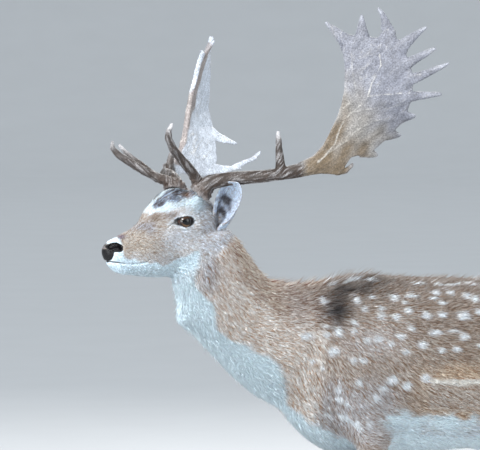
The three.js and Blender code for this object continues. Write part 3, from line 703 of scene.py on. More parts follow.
def head_markings(p, paint):
    """The paint of the face over that of the neck. Gives back where the skin is bare."""
    into = into_head(p)
    head = folded(into)
    ahead, aside, up = head.T
    rough, fine = wobble(p, 30, 8), wobble(p, 12, 9)
    paint(np.ones(len(p)), FACE, 0.7)
    paint(soft(24, 60, ahead) * soft(-95, -60, up + 4 * rough), FACE_BROWN, 0.9)
    paint(0.8 * soft(-24, -50, ahead + 6 * rough) * soft(-100, -60, up), tint(212, 214, 218), 1.0)
    for strength, middle, radii, tone, streaky in FACE_PATCHES:
        paint(strength * blob(head, middle, radii), tone, streaky)
    # the forehead, white with a dark whorl
    rise = 12 + 0.42 * np.clip(40 - ahead, 0, 60)
    paint(soft(-4, 4, up - rise + 4 * rough) * soft(-44, -14, ahead), WHITE, 0.6)
    fleck = up - np.interp(ahead, *WHORL_EDGE) + 2.5 * rough
    inmost = np.where(into[:, 1] > 0, np.interp(up, [34, 48], [3, -16]), 16)
    whorl = soft(-1, 5, fleck) * soft(0, 9, aside - inmost + 4 * rough) * soft(58, 48, ahead)
    strands = wobble(np.stack([1.1 * (ahead + up), 0.22 * (ahead - up), aside], 1), 9, 33)
    paint(whorl * soft(-34, -22, ahead) * (0.85 + 0.35 * strands), tint(94, 88, 88), 2.2)
    paint(1.2 * blob(head, (-34, 60, 34), (26, 20, 22)), WHITE, 0.4)  # behind the antler
    paint(1.1 * blob(head, (-14, 42, 50), (8, 16, 9)), tint(140, 108, 82), 1.2)
    # the ring and the rims of the eye
    for side in SIDES:
        past, q = past_lids(p, side)
        facing = soft(-2, 6, q[:, 2])
        ring = facing * soft(-2, 2, past) * (1 - soft(8, 15, past + 1.5 * rough))
        paint(ring * (0.5 + 0.4 * np.abs(q[:, 1]) / 20), tint(226, 230, 236), 0.4)
        rim = np.where(q[:, 1] > 0, 3.4, 1.8) + 1.8 * soft(8, 16, np.abs(q[:, 0]))
        paint(facing * (1 - soft(1.2 + rim, 2.6 + rim, past + 0.3 * fine)), BLACK, 0.2)
        lash = facing * (1 - soft(3.4, 5.2, past)) * soft(0, 7, q[:, 1]) * soft(6, -6, q[:, 0])
        paint(lash * 0.85, tint(60, 50, 48), 0.5)
    gap, along = to_line(head * FLAT, TEAR)
    paint((1 - soft(1.4, 2.6, gap + 0.9 * along)) * soft(30, 40, aside), tint(36, 28, 28), 0.3)
    # the lips, the chin and the jaw
    edge = np.interp(ahead, *JAW_EDGE)
    paint(soft(3, -3, up - edge + 2.5 * rough) * soft(-44, -30, ahead), WHITE, 0.3)
    rear = np.interp(up, [-90, -86, -77], [102, 117, 131])
    paint(soft(0, 9, ahead - rear + 2 * rough) * soft(10, 14, aside) * soft(-38, -46, up), WHITE, 0.3)
    paint(blob(head, (131, 8, -35), (10, 8, 7)) * 1.3, tint(116, 100, 108), 0.6)
    gap, along = to_line(head * FLAT, MOUTH)
    paint((1 - soft(1.0, 2.4, gap)) * (1 - 0.3 * along), tint(40, 32, 32), 0.2)
    # bare: the nose pad and round the nostrils
    pad = np.zeros(len(p))
    for line, reach, ragged in NOSE_PAD:
        gap, _ = to_line(head * FLAT, line)
        pad = np.maximum(pad, 1 - soft(*reach, gap + ragged * fine))
    front = soft(158, 161, ahead + 0.4 * fine) * soft(-92, -89, up)
    pad = np.maximum(pad, front * soft(-58, -62, up + fine))
    # Painted reflection: the top of the black nose pad is painted grey for the sheen of light on the wet skin
    top = front * soft(-47, -51, up) * (1 - pad)
    paint(soft(132, 142, ahead) * soft(-54, -49, up + fine) * (1 - pad), WHITE, 0.3)
    paint(top, tint(96, 92, 98), 0.2)
    paint(pad, BLACK, 0.0)
    return np.maximum(pad, top) * paint.within


# The coat. For each node of flesh: a tuft's length and width, and how many grow on a square centimetre.
TUFT_LENGTH = {
    "head": 7.5, "nose": 4.0, "ear_": 8.0, "neck": 15.0, "shoulders": 14.5, "barrel": 14.5, "haunch": 14.5,
    "tail": 30.0, "forearm": 12.0, "gaskin": 13.0, "cannon": 8.0,
}
TUFT_WIDTH = {
    "head": 1.25, "nose": 0.9, "ear_": 1.2, "neck": 1.5, "shoulders": 1.8, "barrel": 1.8, "haunch": 1.9,
    "tail": 2.2, "forearm": 1.9, "gaskin": 2.0, "cannon": 1.6,
}
TUFTS_PER_CM = {
    "head": 54.0, "nose": 20.0, "ear_": 34.0, "neck": 37.0, "shoulders": 22.5, "barrel": 26.0, "haunch": 18.0,
    "tail": 20.0, "forearm": 16.0, "gaskin": 15.0, "cannon": 20.0,
}


def lie_of_coat(p, owner):
    """Which way the hair runs at each place, before it is laid on the skin."""
    _, _, way = neck_place(p)
    head, level, x = folded(into_head(p)), girth(p), p[:, 0]
    ahead, _, up = head.T
    sign = np.sign(into_head(p)[:, 1])
    slope = 6 + 50 * soft(40, 170, level) * (1 - 0.72 * soft(-120, 120, x)) - 40 * soft(330, 420, level)
    slope = np.radians(slope)
    out = np.stack([np.cos(slope), np.zeros(len(p)), -np.sin(slope)], 1)
    name = np.array(FLESH)[owner]
    on_neck = name == "neck"
    out[on_neck] = way[on_neck]
    out[on_neck, 0] += 0.25
    limb = np.isin(name, LIMB_NODES)
    out[limb] = (0.12, 0, -1)
    out[name == "tail"] = (0.1, 0, -1)
    # the face: back from the nose, up over the brow and down over the cheek, and away from the eye
    face = np.stack([-np.ones(len(p)), 0.15 * sign, 0.25 - 0.7 * soft(10, -70, up)], 1)
    face[:, 2] -= 0.9 * soft(-20, -70, ahead)
    from_eye = head - np.array([6, 58, -6])
    away = unit(from_eye) * np.exp(-((np.linalg.norm(from_eye, axis=1) / 24) ** 2))[:, None] * 1.5
    away[:, 1] *= sign
    whorl = unit(head - np.array([26, 4, 60])) * (blob(head, (26, 4, 60), (30, 26, 20)) * 1.6)[:, None]
    whorl[:, 1] *= sign
    face = (face + away + whorl) @ HEAD_AXES
    on_face = (name == "head") | (name == "nose")
    out[on_face] = face[on_face]
    for side in SIDES:
        root, tip = ear_line(side)
        out[name == f"ear_{side}"] = unit(tip - root)
    return unit(out)


def coat_fields(mesh):
    """What the tufts are like at each vertex of the skin."""
    web, p, way = Web(mesh), points(mesh), points(mesh, "normal")
    owner, head = owners(p), folded(into_head(p))
    ahead, _, up = head.T

    def blended(values, rounds):
        return web.spread(by_node(values)[owner], rounds)

    on_head = blended({"head": 1.0, "nose": 1.0, "ear_": 1.0}, 6)
    colour, streak, bare = paint_all(p, owner, on_head)
    face = blended({"head": 1.0, "nose": 1.0}, 20)
    length = blended(TUFT_LENGTH, 40)
    length = length * (1 - face * 0.5 * soft(0, 120, ahead))
    length += face * 7 * soft(30, 50, up) * soft(70, 40, ahead)  # the forehead
    length += face * 6 * soft(-96, -108, up) * soft(140, 110, ahead)  # under the jaw
    x, z, side = p[:, 0], p[:, 2], np.abs(p[:, 1] - CHEST_DEPTH)
    length += 12 * (1 - soft(10, 40, side)) * soft(620, 560, z) * soft(-300, -200, x)  # the brisket and belly
    crest = (1 - soft(10, 40, side)) * soft(780, 820, z) * soft(-330, -260, x) * soft(-20, -70, x)
    length += 8 * crest
    width = blended(TUFT_WIDTH, 20) * (1 - face * 0.3 * soft(40, 130, ahead))
    crowd = blended(TUFTS_PER_CM, 10)
    crowd *= (1 - soft(0.3, 0.6, bare)) * soft(39, 44, z)
    depth = blended(COAT_DEPTH, 40) + 6 * crest
    for which in SIDES:
        past, q = past_lids(p, which)
        near = soft(-4, 4, q[:, 2]) * (np.linalg.norm(q, axis=1) < 40)
        crowd *= 1 - near * (1 - soft(1.8, 3.0, past))
        length *= 1 - 0.55 * near * (1 - soft(4, 16, past))
    gap, _ = to_line(head * FLAT, MOUTH)
    crowd *= soft(1.0, 2.2, gap)
    lie = web.spread(lie_of_coat(p, owner), 14)
    jaw = face * soft(-90, -104, up) * soft(-10, 10, ahead) * soft(150, 130, ahead)
    back = (1 - soft(30, 70, side)) * soft(700, 800, z)
    stray = np.maximum(0.05 + 0.08 * (x > -300) + 0.5 * back + 0.5 * crest, jaw)
    fields = {
        "way": way, "lie": lie, "length": length, "width": width, "crowd": crowd, "depth": depth,
        "on_head": on_head, "stray": stray,
    }
    # Painted shade under the coat: the skin's colour is darkened by up to a quarter, as much as the coat is
    # streaky, and not where the skin is bare
    tinted(mesh, "hide", colour * (1 - 0.25 * np.clip(streak, 0, 1) * (1 - bare))[:, None])
    mesh.attributes.new("bare", "FLOAT", "POINT").data.foreach_set("value", bare.astype(np.float32))
    return fields, owner


def paint_all(p, owner, on_head):
    """The coat's colour at each place, how streaky it is there, and how bare."""
    paint = markings(p)
    paint.within = on_head
    bare = head_markings(p, paint)
    name = np.array(FLESH)[owner]
    for side in SIDES:
        mine = name == f"ear_{side}"
        if mine.any():
            paint.colour[mine], paint.streak[mine] = ear_markings(p[mine], side)
    return paint.colour, paint.streak, bare


def ear_markings(p, side):
    """Grey-brown outside with a dark rim, and inside white at the edges and dark in the hollow."""
    root, tip = ear_line(side)
    _, along = to_line(p, [root, tip])
    opens = unit(np.array([0.6, (0.8 if side == "left" else -0.8), -0.1]) @ HEAD_AXES)
    inside = soft(-0.1, 0.25, nearest(FLESH_TREE, p)[1] @ opens)
    head = folded(into_head(p))
    hollow = blob(head, (-95, 69, 38), (12, 9, 21)) + blob(head, (-95, 52, 12), (12, 7, 15)) * 0.9
    paint = Paint(np.tile(tint(190, 180, 172), (len(p), 1)))
    paint(inside, tint(198, 210, 228))
    paint(np.clip(2.3 * hollow + 0.4 * wobble(p, 14, 21) - 0.2, 0, 0.95) * inside, tint(42, 30, 32))
    paint(soft(0.85, 0.98, along) * 0.4 * (1 - inside), tint(110, 98, 92))
    return paint.colour, 0.9 - 0.2 * inside


# What the colour is multiplied by in the darkest and the palest tufts, where the coat is streaky
STREAK_LOW, STREAK_HIGH = np.array([0.46, 0.29, 0.16]), np.array([1.37, 1.55, 1.82])
# A tuft's four corners, three at the root and one at the tip: their shades (painted shade, darkest at the
# root where the tufts shade each other, partly the hair's own darker base), faces and places on the map
TUFT_PAINTED_SHADES = np.array([0.48, 0.48, 0.66, 1.12])
TUFT_FACES = np.array([(0, 1, 2), (0, 3, 1), (1, 3, 2), (2, 3, 0)])
TUFT_MAP = np.array([(0, 0), (1, 0), (0.5, 0.3), (0.5, 1)])
PATCH = 0.003  # a tuft's size on the map
COAT_SEED = 42
SHADE, SHADE_SPREAD = 0.54, 0.4  # how far from the darkest to the palest a tuft is
SHADE_CLUMPS = 0.17  # how much of that neighbouring tufts share
LIE_SPREAD = 0.16  # how far tufts turn aside from the lie of the coat
LENGTHS, LIFTS, WIDTHS = (0.65, 1.25), (0.35, 1.1), (0.7, 1.3)  # from the least to the most
STRAY_SHARE, STRAY_EXTRA = 0.12, 0.9  # how many tufts are stray, where most are, and how much longer
ROOT_DEPTH = 0.6  # how far under the skin a root is


def sown(mesh, crowd, draw):
    """Roots scattered over the skin, closer where more tufts grow: their faces and shares of the corners."""
    triangles = indices(mesh.loop_triangles, "vertices", 3)
    corner = points(mesh)[triangles]
    area = np.linalg.norm(np.cross(corner[:, 1] - corner[:, 0], corner[:, 2] - corner[:, 0]), axis=1) / 200
    wanted = area * crowd[triangles].mean(1) * 1
    total = np.cumsum(wanted)
    count = int(total[-1])
    picks = np.searchsorted(total, (np.arange(count) + draw.uniform(0, 1, count)) * total[-1] / count)
    picks = np.minimum(picks, len(triangles) - 1)
    a, b = draw.uniform(0, 1, (2, count))
    over = a + b > 1
    a[over], b[over] = 1 - a[over], 1 - b[over]
    return triangles[picks], np.stack([1 - a - b, a, b], 1)


SHOULDER_END, FLANK_END = centre("barrel")[0] - 130, 330  # x where the trunk's pieces of coat meet
TRUNK = ["shoulders", "barrel", "haunch_left", "haunch_right"]
# On a piece's map, the part with most tufts has the left, and the ears, limbs and tail have the right
MAP_COLUMNS = ((True, 0.01, 0.76), (False, 0.79, 0.195))


def coat_region(p, owner):
    """Which piece of the coat a root belongs to, and its place on that piece's unwrap, from 0 to 1."""
    name, head, left = np.array(FLESH)[owner], into_head(p), p[:, 1] < CHEST_DEPTH
    side = np.where(left, "left", "right")
    region = np.char.add("neck_", side).astype("U16")
    main, raw = np.ones(len(p), bool), np.zeros((len(p), 2))

    def lay(mine, across, along, is_main=True):
        raw[mine] = np.stack([across, along], 1)[mine]
        main[mine] = is_main

    def turned(x, y):
        return np.arctan2(p[:, 1] - y, p[:, 0] - x)

    at_head = np.isin(name, HEAD_NODES)
    region[at_head] = np.where(head[at_head, 1] > 0, "head_left", "head_right")
    lay(at_head, head[:, 0], np.arctan2(np.abs(head[:, 1]), head[:, 2] + 40))
    for which in SIDES:
        root, tip = ear_line(which)
        axis, off = unit(tip - root), p - root
        across = unit(np.cross(axis, UP))
        lay(name == f"ear_{which}", np.arctan2(off @ across, off @ np.cross(axis, across)), off @ axis, False)
    down, front, _ = neck_place(p)
    lay(name == "neck", np.arccos(np.clip(front, -1, 1)) * np.where(left, 1, -1), down)
    trunk = np.isin(name, TRUNK)
    lay(trunk, p[:, 0], girth(p))
    part = np.where(p[:, 0] < SHOULDER_END, "shoulder_", np.where(p[:, 0] < FLANK_END, "flank_", "rump_"))
    region[trunk] = np.char.add(part[trunk], side[trunk])
    for limb in LIMB_NODES:
        mine = name == limb
        lay(mine, turned(*centre(limb)[:2]), p[:, 2], False)
        region[mine] = ("shoulder_" if limb.startswith("fore") else "rump_") + limb.split("_")[1]
    lay(name == "tail", turned(TAIL_ROOT[0], CHEST_DEPTH), p[:, 2], False)
    spots = np.zeros((len(p), 2))
    for key in np.unique(region):
        for is_main, low, wide in MAP_COLUMNS:
            mine = (region == key) & (main == is_main)
            if mine.any():
                least = raw[mine].min(0)
                share = (raw[mine] - least) / np.maximum(raw[mine].max(0) - least, 1e-6)
                spots[mine] = share * (wide, 0.98) + (low, 0.005)
    return region, spots


def tuft_corners(root, fields, tree, draw):
    """The corners of each tuft, laid along the skin and lifted off it towards the tip."""
    way, depth = fields["way"], fields["depth"]
    lie = fields["lie"] + draw.normal(0, LIE_SPREAD, root.shape)
    lie = unit(lie - (lie * way).sum(1)[:, None] * way)
    stray = 1 + STRAY_EXTRA * (draw.uniform(0, 1, len(root)) < STRAY_SHARE * fields["stray"])
    length = fields["length"] * draw.uniform(*LENGTHS, len(root)) * stray
    lift = depth * draw.uniform(*LIFTS, len(root)) * stray
    half = (fields["width"] * draw.uniform(*WIDTHS, len(root)) / 2)[:, None]
    across = np.cross(way, lie) * half
    tip, up, _ = nearest(tree, root + lie * length[:, None])
    tip += up * lift[:, None]
    low = root - way * ROOT_DEPTH
    ridge = low + way * (ROOT_DEPTH + 0.8 * half) - lie * half
    return np.stack([low - across, low + across, ridge, tip], 1)


def tuft_mesh(name, corners, tones, map_places):
    count = len(corners)
    mesh = bpy.data.meshes.new(name)
    faces = (TUFT_FACES[None] + 4 * np.arange(count)[:, None, None]).reshape(-1)
    mesh.vertices.add(count * 4)
    mesh.loops.add(len(faces))
    mesh.polygons.add(len(faces) // 3)
    mesh.vertices.foreach_set("co", (corners * MM).astype(np.float32).ravel())
    mesh.loops.foreach_set("vertex_index", faces.astype(np.int32))
    mesh.polygons.foreach_set("loop_start", np.arange(0, len(faces), 3, dtype=np.int32))
    mesh.update(calc_edges=True)
    tinted(mesh, "hair", tones.reshape(-1, 3))
    uv = mesh.uv_layers.new(name="OFBake")
    spots = map_places[:, None] + TUFT_MAP * PATCH
    uv.uv.foreach_set("vector", spots.reshape(-1, 2)[faces].astype(np.float32).ravel())
    return mesh


def clear_of_features(tips):
    """Which tufts end clear of the lids, the mouth, the tear groove and the nostrils."""
    head = folded(into_head(tips))
    kept = np.ones(len(tips), bool)
    for line, gap in ((MOUTH, 1.3), (TEAR, 1.4), (NOSTRIL, 5.0)):
        kept &= (to_line(head * FLAT, line)[0] > gap) | (np.abs(head).max(1) > 200)
    for side in SIDES:
        past, q = past_lids(tips, side)
        kept &= (past > 1.4) | (q[:, 2] < 0) | (np.linalg.norm(q, axis=1) > 40)
    return kept


def make_coat(skin, material):
    draw = np.random.default_rng(COAT_SEED)
    fields, owner = coat_fields(skin)
    skin.calc_loop_triangles()
    corners_of, shares = sown(skin, fields["crowd"], draw)

    def at_roots(x):
        x = x[corners_of]
        return (x * (shares[:, :, None] if x.ndim == 3 else shares)).sum(1)

    root = at_roots(points(skin))
    local = {key: at_roots(value) for key, value in fields.items()}
    local["way"] = unit(local["way"])
    nearest_corner = corners_of[np.arange(len(root)), shares.argmax(1)]
    owner = owner[nearest_corner]
    corners = tuft_corners(root, local, tree_of(skin), draw)
    kept = clear_of_features(corners[:, 3])
    root, owner, corners = root[kept], owner[kept], corners[kept]
    shade = draw.normal(SHADE, SHADE_SPREAD, len(root)) + SHADE_CLUMPS * wobble(root, 7, 31)
    shade = np.clip(shade, 0, 1)[:, None]
    tones = []  # at the middle of each tuft and at its tip
    for at in (0.5 * root + 0.5 * corners[:, 3], corners[:, 3]):
        colour, streak, _ = paint_all(at, owner, local["on_head"][kept])
        tones.append(colour * (streak[:, None] * (STREAK_LOW + shade * (STREAK_HIGH - STREAK_LOW) - 1) + 1))
    # Painted shade: each tuft is darkened towards its root and lightened at its tip, less so where the fur is
    # pale and plain
    root_shading = 1 + (TUFT_PAINTED_SHADES - 1) * np.clip(0.3 + 0.7 * streak, 0, 1)[:, None]
    tones = np.stack([tones[0]] * 3 + [tones[1]], 1) * root_shading[:, :, None]
    region, map_places = coat_region(root, owner)
    for key in np.unique(region):
        mine = region == key
        mesh = tuft_mesh(f"coat_{key}", corners[mine], tones[mine], map_places[mine])
        finished(f"coat_{key}", mesh, material, "coat")


# The eyes

BULGE = 0.045  # how far the front of an eye stands out, as a share of its radius


def make_eye(side, material):
    """A ball with a low bulge over the iris. Its own places are kept for the iris and the pupil."""
    ball = bmesh.new()
    bmesh.ops.create_uvsphere(ball, u_segments=64, v_segments=40, radius=1.0)
    mesh = mesh_of("eye", ball)
    q = np.array([v.co for v in mesh.vertices])
    off = np.hypot(q[:, 0], q[:, 1])
    bulge = 1 + BULGE * (1 - soft(0.45, 0.92, off)) * (q[:, 2] > 0)
    gaze = mesh.attributes.new("gaze", "FLOAT_VECTOR", "POINT")
    gaze.data.foreach_set("vector", q.astype(np.float32).ravel())
    place(mesh, EYES[side] + (q * bulge[:, None] * EYEBALL) @ eye_axes(side))
    if side == "left":
        mesh.flip_normals()
    finished(f"eye_{side}_ball", mesh, material, "eye", f"eye_{side}")


# The antlers

def walk(mesh, start):
    """How far each vertex is from the start ones, along the edges."""
    a, b = indices(mesh.edges, "vertices", 2).T
    p = points(mesh)
    here, there = np.concatenate([a, b]), np.concatenate([b, a])
    far = np.linalg.norm(p[here] - p[there], axis=1)
    order = np.argsort(here, kind="stable")
    there, far, first = there[order], far[order], np.searchsorted(here[order], np.arange(len(p)))
    gone = np.where(start, 0.0, 1e6)
    for _ in range(2000):
        nearer = np.minimum(gone, np.minimum.reduceat(gone[there] + far, first))
        if (nearer >= gone - 1e-6).all():
            break
        gone = nearer
    return gone


def uphill(mesh, web, height):
    """The way along the surface in which a number grows."""
    p, way = points(mesh), points(mesh, "normal")
    edge = p[web.b] - p[web.a]
    pull = edge * ((height[web.b] - height[web.a]) / (edge**2).sum(1))[:, None]
    total = np.zeros_like(p)
    for column in range(3):
        total[:, column] = sum(np.bincount(end, pull[:, column], web.count) for end in (web.a, web.b))
    total = web.spread(unit(total), 12)
    return unit(total - (total * way).sum(1)[:, None] * way)


def combed(mesh, along, step, rounds, seed, web, width=0):
    """Random streaks that run along the surface, about -1 to 1."""
    p = points(mesh)
    finder = KDTree(len(p))
    for number, q in enumerate(p.tolist()):
        finder.insert(q, number)
    finder.balance()
    onward = np.array([finder.find(q)[1] for q in (p + step * along).tolist()])
    behind = np.array([finder.find(q)[1] for q in (p - step * along).tolist()])
    x = web.spread(np.random.default_rng(seed).normal(size=len(p)), width)
    for _ in range(rounds):
        x = (x + x[onward] + x[behind]) / 3
    x = (x - x.mean()) / x.std()
    return np.clip(x, -2.5, 2.5) / 2


# The veins of a palm, as lines over its outer face, for the left antler
VEINS = [
    [(-223, -269, 1150), (-209, -271, 1161), (-188, -278, 1189), (-181, -285, 1218), (-171, -292, 1241),
     (-146, -306, 1266), (-129, -319, 1289), (-122, -323, 1315), (-103, -328, 1354), (-106, -325, 1376)],
    [(-129, -319, 1288), (-103, -328, 1292), (-82, -336, 1293), (-63, -343, 1295)],
    [(-205, -272, 1166), (-161, -284, 1196), (-145, -294, 1217), (-116, -307, 1236), (-83, -316, 1242)],
    [(-146, -306, 1266), (-152, -309, 1302), (-159, -304, 1343), (-160, -300, 1380)],
    [(-171, -292, 1241), (-158, -301, 1255), (-138, -309, 1259), (-112, -321, 1264)],
]
VEIN_STRENGTH = [1.0, 0.8, 0.5, 0.4, 0.6]
# Along the front edge of the right antler's palm
PALM_RIM = [(-330, 222, 1392), (-340, 215, 1350), (-348, 222, 1325), (-359, 218, 1288), (-374, 206, 1249),
            (-390, 188, 1210), (-402, 173, 1179), (-416, 155, 1154), (-424, 138, 1141)]
PALM_REACH = 2.6  # how far from the palm's solid the antler still counts as palm
ANTLER_GROWTH = 0.7  # makes up for what the smoothing takes from the thin points
BURR = (16, 30)  # how far up the antler the burr fades


def make_antler(side, material):
    nodes = [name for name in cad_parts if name.startswith(f"antler_{side}")]
    mesh = remeshed(nodes, ANTLER_VOXEL, {f"antler_{side}_palm": PALM_OVERLAP})
    web, p = Web(mesh), points(mesh)
    place(mesh, web.smoothed(p, 6, 0.9, 1.04) + ANTLER_GROWTH * points(mesh, "normal"))
    p, way = points(mesh), points(mesh, "normal")
    near = np.linalg.norm(p - HEAD_AT, axis=1)
    gone = web.spread(walk(mesh, near < near.min() + 12), 10)
    along = uphill(mesh, web, gone)
    burr = 1 - soft(*BURR, gone)
    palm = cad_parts[f"antler_{side}_palm"].data
    palm.calc_loop_triangles()
    spot, _, _ = nearest(tree_of(palm), p)
    on_palm = web.spread((np.linalg.norm(p - spot, axis=1) < PALM_REACH).astype(float), 24)
    fine = combed(mesh, along, 3.0, 14, 5, web)
    broad = combed(mesh, along, 5.0, 16, 6, web, 6)
    ridge = (1 - soft(0.02, 0.14, np.abs(broad))) * soft(-0.2, 0.5, wobble(p, 110, 16))
    if side == "left":
        ridge *= 0.35
        wavy = 0.6 * wobble(p, 24, 18)
        for line, strength in zip(VEINS, VEIN_STRENGTH):
            gap, done = to_line(p * (1, 0.3, 1), np.array(line) * (1, 0.3, 1))
            vein = strength * (1 - soft(0.4, 2.6 - 0.7 * done, gap + wavy))
            ridge = np.maximum(ridge, vein * (way[:, 1] < 0.2))
    out = fine * (0.6 - 0.42 * on_palm) * (1 - burr) + 0.8 * on_palm * ridge
    out = out + 0.35 * wobble(p, 26, 13) + 0.3 * on_palm * broad
    out += (1 - on_palm) * soft(420, 30, gone) * 0.5 * np.maximum(wobble(p, 6, 14), 0)
    out += burr * 2.2 * np.maximum(wobble(p, 9, 12), 0)
    place(mesh, web.smoothed(p + out[:, None] * way, 1, 0.3))
    tip = soft(0, 1, tip_share(mesh, web, p, way))
    inner = soft(-0.3, 0.4, way[:, 1] * (1 if side == "left" else -1))
    paint = Paint(np.tile(tint(50, 40, 34), (len(p), 1)))
    mottle, off_palm = wobble(p, 40, 15), 1 - 0.85 * on_palm
    paint(on_palm * (0.9 + 0.2 * mottle), tint(130, 126, 122))
    paint(on_palm * soft(480, 340, gone + 30 * mottle) * 0.9, tint(98, 83, 64))
    paint(on_palm * soft(450, 560, gone + 20 * mottle) * 0.8, tint(98, 101, 113))
    # The palms' inner faces are paler; the right one is painted paler and bluer than the left, which is
    # painted light
    paint(on_palm * inner * 0.8, tint(196, 204, 216) if side == "right" else tint(170, 172, 178))
    if side == "right":
        gap, _ = to_line(p * (1, 0.4, 1), np.array(PALM_RIM) * (1, 0.4, 1))
        paint(on_palm * (1 - soft(9, 15, gap + 3 * mottle)) * inner * 0.8, tint(112, 96, 86))
    paint((1 - on_palm) * tip, tint(170, 168, 170))
    paint(on_palm * tip * 0.4, tint(160, 162, 170))
    # The ridges are painted paler and the grooves darker: partly painted highlight and shade, partly the
    # antler's own wear
    paint(on_palm * ridge * 0.6, tint(180, 176, 170))
    paint(0.6 * soft(0.0, -0.9, fine) * off_palm, tint(40, 32, 28))
    paint(0.5 * soft(0.1, 0.9, fine) * off_palm, tint(166, 164, 166))
    paint(burr * 0.4, tint(84, 72, 66))
    tinted(mesh, "bone", paint.colour)
    finished(f"antler_{side}", mesh, material, "antler", *nodes)


def tip_share(mesh, web, p, way):
    """1 at the tips of the tines and points, from how sharply the surface turns there."""
    turn = ((p - web.mean(p)) * way).sum(1)
    return web.spread(soft(0.05, 0.4, web.spread(turn, 12)), 14) * 1.3


# The hooves

def make_hooves(leg, material):
    nodes = [f"{part}_{leg}_{side}" for part in ("hoof", "dewclaw") for side in ("inner", "outer")]
    mesh = remeshed(nodes, HOOF_VOXEL)
    web, p = Web(mesh), points(mesh)
    low = p[:, 2] < 1.0
    p = web.smoothed(p, 8, np.where(low, 0.0, 0.8), 1.0)
    place(mesh, p)
    way = points(mesh, "normal")
    rings = 0.35 * np.sin((p[:, 2] + 0.35 * p[:, 0]) * 1.5 + 0.8 * wobble(p, 18, 4)) * soft(2, 8, p[:, 2])
    p = p + rings[:, None] * way
    p[:, 2] = np.maximum(p[:, 2], 0)
    place(mesh, p)
    finished(f"hooves_{leg}", mesh, material, "horn", *nodes)


# The finishes

class Finish:
    """A material, with short ways to add and join its nodes."""

    def __init__(self, name, roughness, specular=0.5):
        self.material = bpy.data.materials.new(name)
        self.material.use_nodes = True
        self.tree = self.material.node_tree
        self.shader = self.tree.nodes["Principled BSDF"]
        self.set(self.shader, "Roughness", roughness)
        self.set(self.shader, "Specular IOR Level", specular)
        self.place = self.add("TexCoord").outputs["Object"]

    def set(self, node, socket, value):
        if isinstance(value, bpy.types.NodeSocket):
            self.tree.links.new(value, node.inputs[socket])
        else:
            node.inputs[socket].default_value = value

    def add(self, kind, inputs=None, **settings):
        node = self.tree.nodes.new("ShaderNode" + kind)
        for key, value in settings.items():
            setattr(node, key, value)
        for key, value in (inputs or {}).items():
            self.set(node, key, value)
        return node

    def stretched(self, x, y, z, vector=None):
        return self.add("Mapping", {"Vector": vector or self.place, "Scale": (x, y, z)}).outputs["Vector"]

    def noise(self, scale, detail=3.0, vector=None):
        inputs = {"Vector": vector or self.place, "Scale": scale, "Detail": detail}
        return self.add("TexNoise", inputs).outputs["Fac"]

    def cells(self, scale):
        return self.add("TexVoronoi", {"Vector": self.place, "Scale": scale}).outputs["Distance"]

    def band(self, value, low, high, at_low=0.0, at_high=1.0):
        inputs = {"Value": value, "From Min": low, "From Max": high, "To Min": at_low, "To Max": at_high}
        return self.add("MapRange", inputs).outputs["Result"]

    def attribute(self, name, output="Color"):
        return self.add("Attribute", attribute_name=name).outputs[output]

    def product(self, a, b):
        return self.add("Math", {0: a, 1: b}, operation="MULTIPLY").outputs[0]

    def mix(self, share, a, b, blend="MIX"):
        node = self.add("Mix", data_type="RGBA", blend_type=blend)
        for socket, value in ((0, share), (6, a), (7, b)):
            self.set(node, socket, (*value[:3], 1) if isinstance(value, (tuple, np.ndarray)) else value)
        return node.outputs[2]

    def bump(self, height, depth_mm, strength=1.0):
        node = self.add("Bump", {"Height": height, "Strength": strength, "Distance": depth_mm * MM})
        if self.shader.inputs["Normal"].is_linked:
            self.set(node, "Normal", self.shader.inputs["Normal"].links[0].from_socket)
        self.set(self.shader, "Normal", node.outputs["Normal"])

    def colour(self, value):
        self.set(self.shader, "Base Color", value)


def varied(finish, colour, scale, low, high, detail=3.0):
    """The colour, made darker and lighter in patches of this scale."""
    shade = finish.band(finish.noise(scale, detail), 0.3, 0.7, low, high)
    return finish.mix(1.0, colour, shade, "MULTIPLY")


def skin_finish():
    f = Finish("hide", 0.7, 0.25)
    bare = f.attribute("bare", "Fac")
    hairs = f.noise(1.0, 4.0, f.stretched(180, 420, 420))
    colour = varied(f, f.attribute("hide"), 260, 0.8, 1.15)
    haired = f.mix(1.0, colour, f.band(hairs, 0.3, 0.7, 0.72, 1.2), "MULTIPLY")
    pebbles = f.cells(620)
    # Painted highlight and shade on the bare skin: each pebble is painted lighter on its raised middle and
    # darker between, where its bump is lower
    naked = f.mix(1.0, f.attribute("hide"), f.band(pebbles, 0.0, 0.6, 1.9, 0.7), "MULTIPLY")
    f.colour(f.mix(bare, haired, naked))
    f.set(f.shader, "Roughness", f.band(bare, 0, 1, 0.75, 0.32))
    f.bump(f.product(hairs, f.band(bare, 0, 1, 1, 0)), 0.8)
    f.bump(f.product(f.band(pebbles, 0.0, 0.6, 1, 0), bare), 0.5)
    return f.material


def coat_finish():
    f = Finish("coat", 0.72, 0.3)
    f.colour(varied(f, f.attribute("hair"), 900, 0.86, 1.12, 2.0))
    f.bump(f.noise(1500, 2.0), 0.12)
    f.set(f.shader, "Sheen Weight", 0.12)
    f.set(f.shader, "Sheen Roughness", 0.5)
    return f.material


